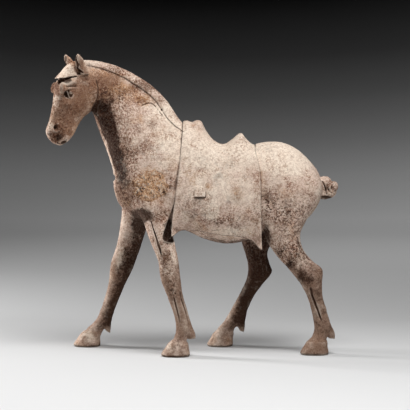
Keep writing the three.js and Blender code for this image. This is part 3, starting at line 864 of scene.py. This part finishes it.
def age():
    """Cracks, nicks and pits, nearly all on the side that the photograph shows."""
    slit(seen_line(*CRACK), 0.7, 1.5, sides=NEAR_SIDE)
    ball(seen(161.6, 110), (1.8, 3, 1.8), 0, 0.5, cut=True)
    stroke(seen_line((208, 193.8), (210.4, 197.2)), 1, 0.5)
    stroke(seen_line((116.6, 187), (118, 192)), 0.8, 0.5)
    slit(seen_line((322.4, 181.4), (324.6, 186), (325.8, 190.6)), [0.8, 1.3, 1], 2.5)
    for px, py in ((326.6, 194.2), (331.2, 193)):
        ball(seen(px, py), (1.5, 2.5, 1.5), 0, 0.6, cut=True)
    stroke(seen_line((305.6, 185.8), (307.8, 184.8), (310.2, 184.8)), [0.8, 1.3, 0.6], 0.6)
    for px, py in ((157, 171.5), (161, 173.5), (165, 171), (153, 175), (138, 202), (143, 206), (147, 201),
                   (140.5, 178), (136.5, 186)):
        stroke(seen_line((px, py), (px + 1.6, py + 0.8)), 1.1, 0.6)
    for px, py in ((174, 286), (171.5, 291), (175.4, 293.6)):
        ball(seen(px, py), (1.4, 2, 1.8), 0, 0.6, cut=True)


RANDOM = np.random.default_rng(7).random((32, 32, 32)).astype(np.float32)


def grain(places, size, seed=0.0):
    """Smooth noise from -1 to 1, with lumps about as wide as size."""
    at = places / size + seed * 7.31
    cell = np.floor(at).astype(int)
    share = at - cell
    total = 0
    for corner, weight in cell_corners(share * share * (3 - 2 * share)):
        total = total + weight * RANDOM[tuple((cell + corner).T % len(RANDOM))]
    return 2 * total - 1


def layers(places, size, seed=0.0, count=3):
    """Noise with finer and finer lumps on it."""
    return sum(grain(places, size / 2 ** i, seed + i) / 2 ** i for i in range(count)) / (2 - 2 ** (1 - count))


def near(places, spot, reach):
    """From 1 at a spot to 0 at a distance of reach, which may differ by axis."""
    return 1 - smoothstep(0, 1, np.linalg.norm((places - spot) / reach, axis=1))


CRUST_MIDDLE = (150, 186)
CRUST_REACH = (46, 40, 38)


def crust_share(places):
    """How thick the burial crust lies: on the near shoulder, in ragged patches."""
    region = near(places, seen(*CRUST_MIDDLE), CRUST_REACH) * 1.7
    region += near(places, seen(128, 205), (30, 30, 30)) * 0.6
    return smoothstep(0.42, 0.8, region + 0.5 * layers(places, 11, 3))


def relief(places):
    """How far the worn surface stands out from the modelled form."""
    swells = [(0.3, 26), (0.22, 9), (0.16, 4.2), (0.12, 2.4)]
    height = sum(high * grain(places, size, seed) for seed, (high, size) in enumerate(swells, 1))
    pits = smoothstep(0.5, 0.8, grain(places, 5, 5)) * smoothstep(0, 0.6, grain(places, 30, 6))
    height -= 0.5 * pits
    flakes = smoothstep(0.1, 0.3, layers(places, 9, 7)) * smoothstep(-0.1, 0.4, grain(places, 45, 8))
    height += 0.25 * flakes
    height += crust_share(places) * (0.3 + 0.6 * grain(places, 4.4, 9) + 0.7 * grain(places, 2.5, 10))
    return height


def box_blur(field, reach):
    """The field's mean over a cube of cells that reaches this far each way."""
    for axis in range(3):
        width = 2 * reach + 1
        first, last = np.take(field, [0] * (reach + 1), axis), np.take(field, [-1] * reach, axis)
        padded = np.concatenate([first, field, last], axis)
        sums = np.cumsum(padded, axis, dtype=np.float32)
        ahead = np.take(sums, range(width, sums.shape[axis]), axis)
        field = (ahead - np.take(sums, range(0, sums.shape[axis] - width), axis)) / width
    return field


def detailed(points):
    """Where the mesh keeps its small triangles: the head, the crust and the drawn lines."""
    head = (points[:, 0] < HEAD_BACK_X) & (points[:, 2] > HEAD_LOW_Z)
    crust = near(points, seen(*CRUST_MIDDLE), CRUST_REACH) > 0.15
    lines = np.zeros(len(points), bool)
    for half, _, line in drawn_lines():
        for side in BOTH:
            lines |= line_distance(points, line * side) < half + 2
    return head | crust | lines


def read_rows(data, key):
    """Three numbers that the mesh holds for each vertex."""
    values = np.empty(len(data) * 3, np.float32)
    data.foreach_get(key, values)
    return values.reshape(-1, 3)


def place_vertices(mesh, points):
    mesh.vertices.foreach_set("co", points.astype(np.float32).ravel())


def new_figure():
    """The clay as a Blender mesh in the straight frame, roughened and thinned."""
    grid = openvdb.FloatGrid(FAR)
    grid.transform = openvdb.createLinearTransform(voxelSize=GRID)
    grid.copyFromArray(clay, ijk=tuple(int(v) for v in LOW_CELL))
    points, _, quads = grid.convertToPolygons()
    mesh = bpy.data.meshes.new("horse_figure")
    mesh.vertices.add(len(points))
    place_vertices(mesh, points)
    mesh.loops.add(quads.size)
    mesh.loops.foreach_set("vertex_index", quads.astype(np.int32).ravel())
    mesh.polygons.add(len(quads))
    mesh.polygons.foreach_set("loop_start", np.arange(0, quads.size, 4, dtype=np.int32))
    mesh.update(calc_edges=True)
    mesh.validate()
    points = points + read_rows(mesh.vertex_normals, "vector") * relief(points)[:, None]
    place_vertices(mesh, points)
    figure = bpy.data.objects.new("horse_figure", mesh)
    bpy.context.scene.collection.objects.link(figure)
    detail = figure.vertex_groups.new(name="detail")
    detail.add(np.nonzero(detailed(points))[0].tolist(), 1.0, "REPLACE")
    thin = figure.modifiers.new("thin", "DECIMATE")
    thin.ratio = TRIANGLES / (2 * len(quads))
    thin.vertex_group = detail.name
    thin.invert_vertex_group = True
    bpy.context.view_layer.objects.active = figure
    bpy.ops.object.modifier_apply(modifier="thin")
    figure.vertex_groups.clear()
    return figure


# Soft areas of colour on the surface, placed where they show in the photograph: pixel x and y, how
# far each reaches along the body and up, in millimetres, and its strength.
AREAS = {
    "pale": [
        (66, 70, 20, 18, 0.7), (57, 104, 8, 36, 0.5), (69, 82.6, 15, 8, 0.7), (301, 262, 14, 16, 0.5),
        (184, 326, 12, 20, 1.2), (120, 262, 12, 30, 0.8), (175, 346, 20, 14, 0.6), (168, 274, 12, 18, 0.8),
        (88, 338, 20, 14, 0.4), (168, 112, 30, 26, 0.3), (172, 130, 44, 50, 0.5), (156, 114, 26, 20, 0.5),
        (215, 150, 110, 60, 1), (280, 145, 100, 66, 1.8), (292, 166, 44, 36, 1), (225, 185, 80, 50, 0.5),
        (212, 211, 18, 24, 1), (230, 232, 60, 14, 1), (195, 190, 40, 30, 0.4), (160, 140, 44, 34, 0.4),
        (172, 262, 14, 34, 0.6),
    ],
    "rust": [
        (66, 70, 20, 20, 0.35), (78, 100, 54, 60, 1.5), (70, 87, 26, 14, 0.4), (85, 80, 22, 16, 1.6),
        (56, 88, 12, 18, 1), (69, 83, 15, 8, 0.3), (101, 95, 16, 28, 1), (124, 196, 22, 40, 0.3),
        (84, 72, 18, 16, 0.9), (64, 120, 30, 44, 1.3), (69.3, 131.5, 7, 9, 2.5), (57, 136, 10, 8, 1),
        (100, 80, 50, 26, 1.2), (80.5, 63, 14, 26, 1.2), (116, 80, 26, 18, 0.7), (114, 92, 28, 26, 0.4),
        (126, 96, 24, 18, 0.5), (132, 91, 26, 16, 0.7), (142, 101, 18, 14, 1), (150, 186, 44, 40, 0.5),
        (255, 221, 12, 12, 1),
    ],
    # Brown is soil and tone, and down the front of the neck and on the chest it is also painted shade.
    "brown": [
        (60, 116, 20, 50, 0.4), (80, 62, 14, 24, 0.6), (116, 70, 44, 14, 0.4), (145, 86, 44, 18, 0.8),
        (104, 118, 34, 74, 1.2), (120, 160, 30, 64, 1.2), (118, 96, 30, 24, 0.2), (58, 135, 18, 16, 1),
        (85, 80, 20, 16, 0.8), (71, 110, 20, 24, 0.5), (123, 118, 26, 32, 0.7), (54.5, 88, 12, 16, 0.3),
        (55, 140, 14, 8, 0.6), (316, 305, 14, 30, 0.6), (286, 244, 36, 30, 0.2), (167, 257, 16, 16, 0.9),
        (243, 144, 22, 16, 0.8), (164, 98, 20, 22, 0.25), (136, 130, 14, 14, 0.6), (152, 126, 14, 16, 0.9),
        (125, 200, 40, 50, 1.4), (140, 150, 40, 30, 0.5), (160, 215, 24, 24, 0.7), (160, 245, 20, 30, 0.4),
        (218, 222, 36, 10, 0.6), (292, 210, 70, 46, 0.35), (300, 245, 60, 50, 0.1), (266, 196, 16, 22, 0.8),
        (330, 188, 18, 22, 0.7), (206, 200, 20, 10, 0.3),
    ],
    # Real stains, and painted shadow: in the gaps behind the near elbow and behind the cloth's rear corner,
    # under the forelock, the eye, the upper lip and the tail, in the mouth, behind and below the cheek, down
    # the front of the neck and in the hollow between the chest and the far foreleg.
    "stain_and_shade": [
        (98, 108, 16, 18, 1.6), (101, 95, 12, 26, 0.5), (104, 122, 26, 34, 3.2), (109, 139, 24, 34, 2.9),
        (115, 157, 23, 32, 2.1), (122, 176, 21, 32, 1.3), (128, 195, 19, 32, 0.7), (141, 215.5, 34, 18, 2.5),
        (139, 223, 22, 22, 2.2), (110, 102, 14, 16, 0.8), (218, 222, 30, 8, 0.5), (292, 215, 50, 36, 0.4),
        (266, 200, 12, 16, 0.5), (280, 253, 12, 16, 0.9), (290, 265, 12, 16, 0.9), (302, 277, 13, 16, 0.9),
        (310, 280, 12, 12, 0.4), (66, 94, 10, 11, 1.1), (62, 81, 8, 6, 3), (66, 80, 9, 5, 2.4),
        (59, 137, 12, 10, 0.9), (124, 117, 16, 22, 0.2), (63.8, 142.6, 7, 4, 2.6), (49.4, 133.4, 8, 8, 0.5),
        (168, 230, 14, 28, 2.5), (169, 240, 14, 9, 2.8), (266, 237, 12, 30, 2.2), (326, 197, 14, 5, 1.5),
    ],
    "earth": [
        (150, 186, 46, 42, 1.3), (88, 98, 22, 30, 0.7), (112, 90, 34, 28, 0.8), (126, 88, 34, 18, 0.9),
        (142, 99, 24, 16, 0.9), (236, 190, 18, 15, 0.8), (241, 196, 12, 10, 0.6), (252, 229, 18, 18, 0.7),
        (190, 178, 24, 26, 0.6), (209, 187, 8, 12, 0.6),
    ],
    "fleck": [
        (292, 212, 80, 44, 0.9), (298, 248, 50, 60, 1), (268, 202, 30, 30, 0.7), (225, 222, 80, 22, 0.6),
        (190, 205, 30, 40, 0.4), (168, 262, 18, 50, 0.6), (173, 290, 14, 30, 0.7), (175, 343, 22, 20, 0.5),
        (125, 160, 34, 60, 0.5), (120, 96, 34, 26, 0.5),
    ],
}
# Dark lines drawn on the surface: half width, strength, and pixels of the photograph along each.
# Nothing of a line shows beyond LINE_REACH from it.
LINE_REACH = 5
# Apart from the crack, the lines are painted shadow: in the ears, the eye's crease and the tail's groove,
# under the eye, under the edges of the mane, the forelock and the cheek, and down the hind legs.
LINES = [
    [0.5, 0.9, *MANE_EDGE[1:]],
    [0.4, 0.7, *CRACK],
    [1.1, 1, (76.8, 57.4), (77.2, 61), (78.2, 64), (78.2, 67.4), (79.8, 70.4), (82.6, 72.2)],
    [0.8, 1, (65.8, 57), (65.8, 62)],
    [0.9, 0.9, (96.6, 81), (98, 88), (97.8, 95), (96, 101.6), (94, 106.4), (91.8, 110.4)],
    [1.8, 1, (62, 81), (66, 79.8), (70, 78.4), (76, 77)],
    [1.6, 0.9, (97.6, 104.6), (97.4, 109), (97.8, 113)],
    [0.7, 0.8, (297.5, 239), (300, 246), (304, 253), (309, 260)],
    [1.1, 1, (310.6, 288), (313.4, 298), (316.6, 307), (320, 317)],
    [0.4, 0.9, (66.6, 86.8), (70, 86.2), (76, 86.4)],
    [0.7, 0.8, (64.4, 93), (66, 97), (70, 98.6)],
    [0.7, 0.9, (322.4, 181.4), (324.8, 186), (326.4, 192)],
]


def line_distance(places, line):
    """How far each place is from a line of points, where it is close to the line."""
    nearest = np.full(len(places), FAR)
    close = np.all((places > line.min(0) - LINE_REACH) & (places < line.max(0) + LINE_REACH), axis=1)
    part = places[close]
    gap = nearest[close]
    for p, q in zip(line[:-1], line[1:]):
        run = q - p
        share = np.clip((part - p) @ run / max(run @ run, 1e-6), 0, 1)
        gap = np.minimum(gap, np.linalg.norm(part - p - share[:, None] * run, axis=1))
    nearest[close] = gap
    return nearest


def drawn_lines():
    """The drawn lines and the cloth's edges and hem: half width, strength and places along each."""
    lines = [(half, strength, close_line(*pixels)) for half, strength, *pixels in LINES]
    front, rear = drape_edges()
    hem = drape_sheet(40)[0][:, -1]
    # The lines along the cloth's front and rear edges and its hem are painted shadow under the raised edges
    # and the hem.
    cloth_lines = ((0.5, 0.8, front[::4] - [0.8, 0, 0]), (0.5, 0.9, rear[::4] + [0.8, 0, 0]), (0.4, 0.8, hem))
    return lines + [(half, strength, straightened(line)) for half, strength, line in cloth_lines]


def line_mark(places):
    """The drawn lines as a mark from 0 to 1, on both sides of the figure."""
    drawn = np.zeros(len(places))
    for half, strength, line in drawn_lines():
        for side in BOTH:
            share = 1 - smoothstep(half, half + 1.3, line_distance(places, line * side))
            drawn = np.maximum(drawn, strength * share)
    return drawn


def area_marks(places):
    """How strong each kind of colour is, on both sides of the figure and fainter on the far side."""
    ragged = 1 + 0.35 * layers(places, 30, 11)
    marks = {}
    for kind, areas in AREAS.items():
        total = np.zeros(len(places))
        for px, py, along, up, strength in areas:
            spot = seen(px, py)
            for side, share in zip(BOTH, (1, 0.8)):
                total += share * strength * near(places, spot * side, (along, 60, up))
        marks[kind] = np.clip(total * ragged, 0, 1.5)
    return marks


def soil_and_shade_legs(marks, places, normals):
    """The legs are darker with dirt and painted shade, the right side's most, and smoother low down."""
    x, y, z = places.T
    leg = 1 - smoothstep(90, 200, z)
    right = smoothstep(5, 25, y) * (1 - smoothstep(170, 215, z))
    above_hoof = smoothstep(18, 40, z)
    hind = smoothstep(60, 90, x)
    backward = smoothstep(-0.6, 0.4, normals[:, 0])
    # Brown, partly dirt and partly painted shade, darkens the legs towards the ground, the hind legs and the
    # right side.
    marks["brown"] += (0.55 + 0.65 * above_hoof) * leg + (0.6 - 0.5 * above_hoof) * hind * leg
    marks["brown"] += 0.4 * right * above_hoof
    # Painted shade: the hind legs darken, the right one most, and the right foreleg is lighter where it faces
    # forward and darker where it faces back.
    marks["brown"] *= 1 - 0.6 * right * (1 - hind) * (1 - backward)
    marks["stain_and_shade"] += above_hoof * hind * (0.45 * leg + 1.1 * right)
    marks["stain_and_shade"] += 1.3 * above_hoof * right * (1 - hind) * backward
    marks["rust"] += 0.4 * (1 - smoothstep(18, 30, z)) * (1 + hind * right)
    marks["smooth"] = 0.7 * (1 - smoothstep(100, 170, z))
    marks["brown"] += 0.25 * marks["smooth"]


def painted_shade_and_rim_light(marks, places, normals):
    """Painted shadow at the soles, painted shade underneath, a painted highlight on the neck's front edge."""
    x, _, z = places.T
    # Painted contact shadow along the bottom of the hooves.
    marks["stain_and_shade"] += 1.6 * (1 - smoothstep(-0.5, 3, z))
    # Painted shade on the faces that look down.
    marks["stain_and_shade"] += 1.0 * smoothstep(-0.75, -0.97, normals[:, 2]) * smoothstep(150, 175, z)
    # A painted highlight where the front edge of the neck faces ahead, towards the rim lamp; it also clears
    # the painted shade there.
    ahead = -normals[:, 0] / np.hypot(normals[:, 0], normals[:, 1])
    front = smoothstep(0.9, 0.985, ahead) * smoothstep(215, 250, z)
    front *= (1 - smoothstep(366, 384, z)) * smoothstep(-178, -168, x)
    marks["stain_and_shade"] *= 1 - front
    marks["pale"] += 0.4 * front


def mark(figure):
    """Stores the marks that the material reads, and moves the figure to its final place in metres."""
    mesh = figure.data
    places = read_rows(mesh.vertices, "co").astype(float)
    normals = read_rows(mesh.vertex_normals, "vector")
    solid = (clay < 0).astype(np.float32)
    marks = {
        "fine": sample(box_blur(solid, max(1, round(2.2 / GRID))), places),
        "worn_and_shaded": relief(places),
        "line": line_mark(places),
        "crust": crust_share(places),
        **area_marks(places),
    }
    soil_and_shade_legs(marks, places, normals)
    painted_shade_and_rim_light(marks, places, normals)
    marks["earth"] += 0.9 * marks["crust"]
    for name, values in marks.items():
        layer = mesh.attributes.new(name, "FLOAT", "POINT")
        layer.data.foreach_set("value", values.astype(np.float32))
    final = (turned(places) - ORIGIN) / 1000
    place_vertices(mesh, np.clip(final, *np.array([list(corner) for corner in cad_box])))
    mesh.shade_smooth()
    mesh.update()


def linear(red, green, blue):
    """A colour from its screen values, 11 to 255."""
    return tuple(((v / 255 + 0.055) / 1.055) ** 2.4 for v in (red, green, blue)) + (1,)


def add_node(tree, kind, inputs=None, **settings):
    """A new node with its settings, and its inputs set to values or linked to outputs."""
    node = tree.nodes.new(kind)
    for name, value in settings.items():
        setattr(node, name, value)
    for name, value in (inputs or {}).items():
        if isinstance(value, bpy.types.NodeSocket):
            tree.links.new(value, node.inputs[name])
        else:
            node.inputs[name].default_value = value
    return node


def new_material(name):
    material = bpy.data.materials.new(name)
    material.use_nodes = True
    return material, material.node_tree, material.node_tree.nodes["Principled BSDF"]


class Paint:
    """Builds the pottery's material from noise and the marks on the mesh."""

    def __init__(self, tree):
        self.tree = tree
        self.places = add_node(tree, "ShaderNodeTexCoord").outputs["Object"]

    def mark(self, name):
        return add_node(self.tree, "ShaderNodeAttribute", attribute_name=name).outputs["Fac"]

    def noise(self, size, detail=4.0, rough=0.6, twist=0.0):
        """Noise from 0 to 1, with lumps about size millimetres wide."""
        inputs = {"Vector": self.places, "Scale": 1000 / size}
        inputs.update({"Detail": detail, "Roughness": rough, "Distortion": twist})
        return add_node(self.tree, "ShaderNodeTexNoise", inputs).outputs["Fac"]

    def maths(self, a, b, kind):
        return add_node(self.tree, "ShaderNodeMath", {0: a, 1: b}, operation=kind).outputs[0]

    def plus(self, a, b):
        return self.maths(a, b, "ADD")

    def times(self, a, b):
        return self.maths(a, b, "MULTIPLY")

    def ramp(self, value, low, high, to_low=0.0, to_high=1.0):
        inputs = {"Value": value, "From Min": low, "From Max": high, "To Min": to_low, "To Max": to_high}
        node = add_node(self.tree, "ShaderNodeMapRange", inputs, interpolation_type="SMOOTHSTEP")
        return node.outputs["Result"]

    def blend(self, share, under, over, kind="MIX"):
        inputs = {0: share, 6: under, 7: over}
        return add_node(self.tree, "ShaderNodeMix", inputs, data_type="RGBA", blend_type=kind).outputs[2]


PALE = linear(240, 226, 209)
ROSE = linear(214, 191, 176)
TAN = linear(188, 150, 120)
RUST = linear(136, 101, 80)
SOIL_AND_SHADE = linear(131, 105, 88)
EARTH = linear(184, 141, 102)
# The colour of real stains and of painted shadow.
STAIN_AND_SHADE = linear(60, 40, 29)
SOFT_SOIL = linear(222, 206, 198)
HARD_SOIL = linear(187, 165, 154)
CRUST = linear(222, 186, 150)
FLECK = linear(128, 104, 92)
GROOVE = linear(58, 38, 28)


def slip(paint, dirt_and_shade):
    """The clay and what lies on it, each layer where mottled noise plus a bias is high."""
    # Each layer: its colour, the noise's size, the bias, the noise's low and high edge, the layer's
    # greatest share and the noise's roughness.
    by_mark = {kind: paint.mark(kind) for kind in AREAS}
    colour = ROSE
    for tint, size, bias, low_edge, high_edge, most, rough in (
        (TAN, 30, paint.times(by_mark["rust"], 0.24), 0.5, 0.72, 1, 0.66),
        (PALE, 20, paint.times(by_mark["pale"], 0.24), 0.4, 0.7, 0.9, 0.76),
        (EARTH, 14, paint.times(by_mark["earth"], 0.26), 0.52, 0.8, 0.9, 0.78),
        (RUST, 14, paint.times(by_mark["rust"], 0.24), 0.54, 0.9, 0.9, 0.8),
        (SOIL_AND_SHADE, 14, dirt_and_shade, 0.46, 0.84, 0.9, 0.8),
        # The darkest layer: real stains, and painted shadow in gaps, hollows and under edges.
        (STAIN_AND_SHADE, 10, paint.times(by_mark["stain_and_shade"], 0.28), 0.56, 0.86, 0.95, 0.8),
    ):
        amount = paint.plus(paint.noise(size, 8, rough), bias)
        colour = paint.blend(paint.ramp(amount, low_edge, high_edge, 0, most), colour, tint)
    return colour


def specked(paint, colour, dirt_and_shade):
    """Specks of soil darken the colour under them, more where dirt and painted shade lie, and grains of
    crust and flecks of clean slip lighten it."""
    crust, rust, stain_and_shade = paint.mark("crust"), paint.mark("rust"), paint.mark("stain_and_shade")
    mottled = paint.maths(1.0, paint.mark("smooth"), "SUBTRACT")
    soiled = paint.ramp(paint.plus(paint.noise(26, 3), dirt_and_shade), 0.36, 0.9, 0.34, 1.4)
    soiled = paint.times(soiled, mottled)
    for size, low_edge, high_edge, share, tint in (
        (5, 0.44, 0.62, soiled, SOFT_SOIL),
        (3.2, 0.5, 0.62, soiled, HARD_SOIL),
        (2.1, 0.44, 0.6, soiled, HARD_SOIL),
        (4.2, 0.5, 0.59, paint.mark("fleck"), FLECK),
        (3.2, 0.52, 0.6, crust, FLECK),
    ):
        specks = paint.ramp(paint.noise(size, 2), low_edge, high_edge)
        colour = paint.blend(paint.times(specks, share), colour, tint, "MULTIPLY")
    tops = paint.times(paint.ramp(paint.noise(2.8, 2, twist=0.4), 0.54, 0.64, 0, 0.6), crust)
    colour = paint.blend(tops, colour, CRUST)
    spoiled = paint.plus(paint.times(stain_and_shade, 0.3), paint.times(rust, 0.3))
    clean = paint.times(paint.ramp(paint.plus(dirt_and_shade, spoiled), 0.15, 0.5, 1, 0.2), mottled)
    light = paint.ramp(paint.noise(2.6, 2), 0.52, 0.66, 0, 0.34)
    return paint.blend(paint.times(light, clean), colour, PALE)


def worn_and_shaded(paint, colour):
    """Soil and painted shade darken the pits, hollows and drawn lines, and what stands out is rubbed pale."""
    height, hollow = paint.mark("worn_and_shaded"), paint.mark("fine")
    for value, start, end, most, tint in (
        (height, 0, -0.9, 0.7, GROOVE),
        (height, 0.5, 1.6, 0.2, PALE),
        # Painted shade in the hollows, where much clay lies round a place.
        (hollow, 0.57, 0.78, 0.85, GROOVE),
        (hollow, 0.45, 0.3, 0.25, PALE),
    ):
        colour = paint.blend(paint.ramp(value, start, end, 0, most), colour, tint)
    return paint.blend(paint.times(paint.mark("line"), 0.9), colour, GROOVE)


def earthenware():
    material, tree, shader = new_material("earthenware")
    paint = Paint(tree)
    # Brown carries dirt and painted shade, and pale carries slip and the painted highlight on the neck's
    # front edge.
    brown, pale = paint.times(paint.mark("brown"), 0.26), paint.times(paint.mark("pale"), 0.12)
    dirt_and_shade = paint.maths(brown, pale, "SUBTRACT")
    colour = worn_and_shaded(paint, specked(paint, slip(paint, dirt_and_shade), dirt_and_shade))
    tree.links.new(colour, shader.inputs["Base Color"])
    shader.inputs["Roughness"].default_value = 0.88
    shader.inputs["Specular IOR Level"].default_value = 0.08
    rough = paint.plus(paint.noise(3, 6, 0.7), paint.times(paint.noise(0.9, 3), 0.4))
    bump = add_node(tree, "ShaderNodeBump", {"Strength": 0.6, "Distance": 0.0012, "Height": rough})
    tree.links.new(bump.outputs["Normal"], shader.inputs["Normal"])
    return material


def aim(name, data, location, target):
    """Adds a camera or lamp that looks at a target."""
    thing = bpy.data.objects.new(name, data)
    bpy.context.scene.collection.objects.link(thing)
    thing.location = location
    thing.rotation_euler = (Vector(target) - Vector(location)).to_track_quat("-Z", "Y").to_euler()
    return thing


def place_camera():
    data = bpy.data.cameras.new("camera")
    data.sensor_width = 36
    data.lens = data.sensor_width * FOCAL / PHOTO_SIDE
    bpy.context.scene.camera = aim("camera", data, (EYE - ORIGIN) / 1000, (AIM - ORIGIN) / 1000)


def place_lamp(name, location, target, size, watts):
    data = bpy.data.lights.new(name, "AREA")
    data.energy = watts
    data.size = size
    aim(name, data, location, target)


def round_sheet(sides=96, steps=15):
    """A flat sheet that bends up to a wall all round."""
    turns = np.linspace(0, math.pi / 2, steps)
    profile = [(SHEET_FLAT - 0.1, 0.0)]
    profile += [(SHEET_FLAT + SHEET_BEND * math.sin(a), SHEET_BEND * (1 - math.cos(a))) for a in turns]
    profile += [(SHEET_FLAT + SHEET_BEND, SHEET_HIGH)]
    around = [2 * math.pi * i / sides for i in range(sides)]
    corners = [(r * math.cos(a), r * math.sin(a), z) for r, z in profile for a in around]
    faces = [tuple(range(sides))]
    for row in range(len(profile) - 1):
        low, high = row * sides, (row + 1) * sides
        faces += [(low + i, high + i, high + (i + 1) % sides, low + (i + 1) % sides) for i in range(sides)]
    mesh = bpy.data.meshes.new("floor")
    mesh.from_pydata(corners, [], faces)
    mesh.shade_smooth()
    return mesh


def place_floor():
    """A pale sheet under the figure, with painted shade that grades it to near black high up behind it."""
    mesh = round_sheet()
    floor = bpy.data.objects.new("floor", mesh)
    bpy.context.scene.collection.objects.link(floor)
    material, tree, shader = new_material("floor")
    place = add_node(tree, "ShaderNodeTexCoord").outputs["Object"]
    axes = add_node(tree, "ShaderNodeSeparateXYZ", {"Vector": place}).outputs
    along = add_node(tree, "ShaderNodeMath", {0: axes["Y"], 1: axes["Z"]}, operation="ADD").outputs[0]
    start, end = SHEET_GREYS[0][0], SHEET_GREYS[-1][0]
    span = {"Value": along, "From Min": start, "From Max": end}
    share = add_node(tree, "ShaderNodeMapRange", span).outputs["Result"]
    grading = add_node(tree, "ShaderNodeValToRGB", {"Fac": share})
    stops = grading.color_ramp.elements
    for at, _ in SHEET_GREYS[1:-1]:
        stops.new((at - start) / (end - start))
    for stop, (_, grey) in zip(stops, SHEET_GREYS):
        stop.color = (grey, grey, grey, 1)
    tree.links.new(grading.outputs["Color"], shader.inputs["Base Color"])
    shader.inputs["Roughness"].default_value = 1
    shader.inputs["Specular IOR Level"].default_value = 0
    mesh.materials.append(material)


def light_room():
    """A soft key lamp, a faint fill, a rim lamp ahead of the head and one on the wall behind."""
    place_lamp("key", (0.35, -0.7, 1.75), (0, 0, 0.25), 0.9, 31.5)
    place_lamp("fill", (0.3, -2.2, 0.9), (0, 0, 0.25), 1.2, 2)
    place_lamp("rim", (-1.5, 0.45, 0.55), (0, 0, 0.28), 0.4, 30)
    place_lamp("backdrop", (0.7, 1.3, 1.6), (0.7, 3.6, 0.4), 1.0, 16)
    world = bpy.data.worlds.new("world")
    bpy.context.scene.world = world
    world.use_nodes = True
    background = world.node_tree.nodes["Background"]
    background.inputs["Color"].default_value = (1, 1, 1, 1)
    background.inputs["Strength"].default_value = 0.03


model_body()
model_legs()
model_head()
model_cloth()
for side in (1, -1):
    strap_keeper(side)
age()
figure = new_figure()
mark(figure)
figure.data.materials.append(earthenware())
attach(figure, "root")
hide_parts("horse")

place_camera()
place_floor()
light_room()
bpy.context.scene.view_settings.view_transform = "Standard"
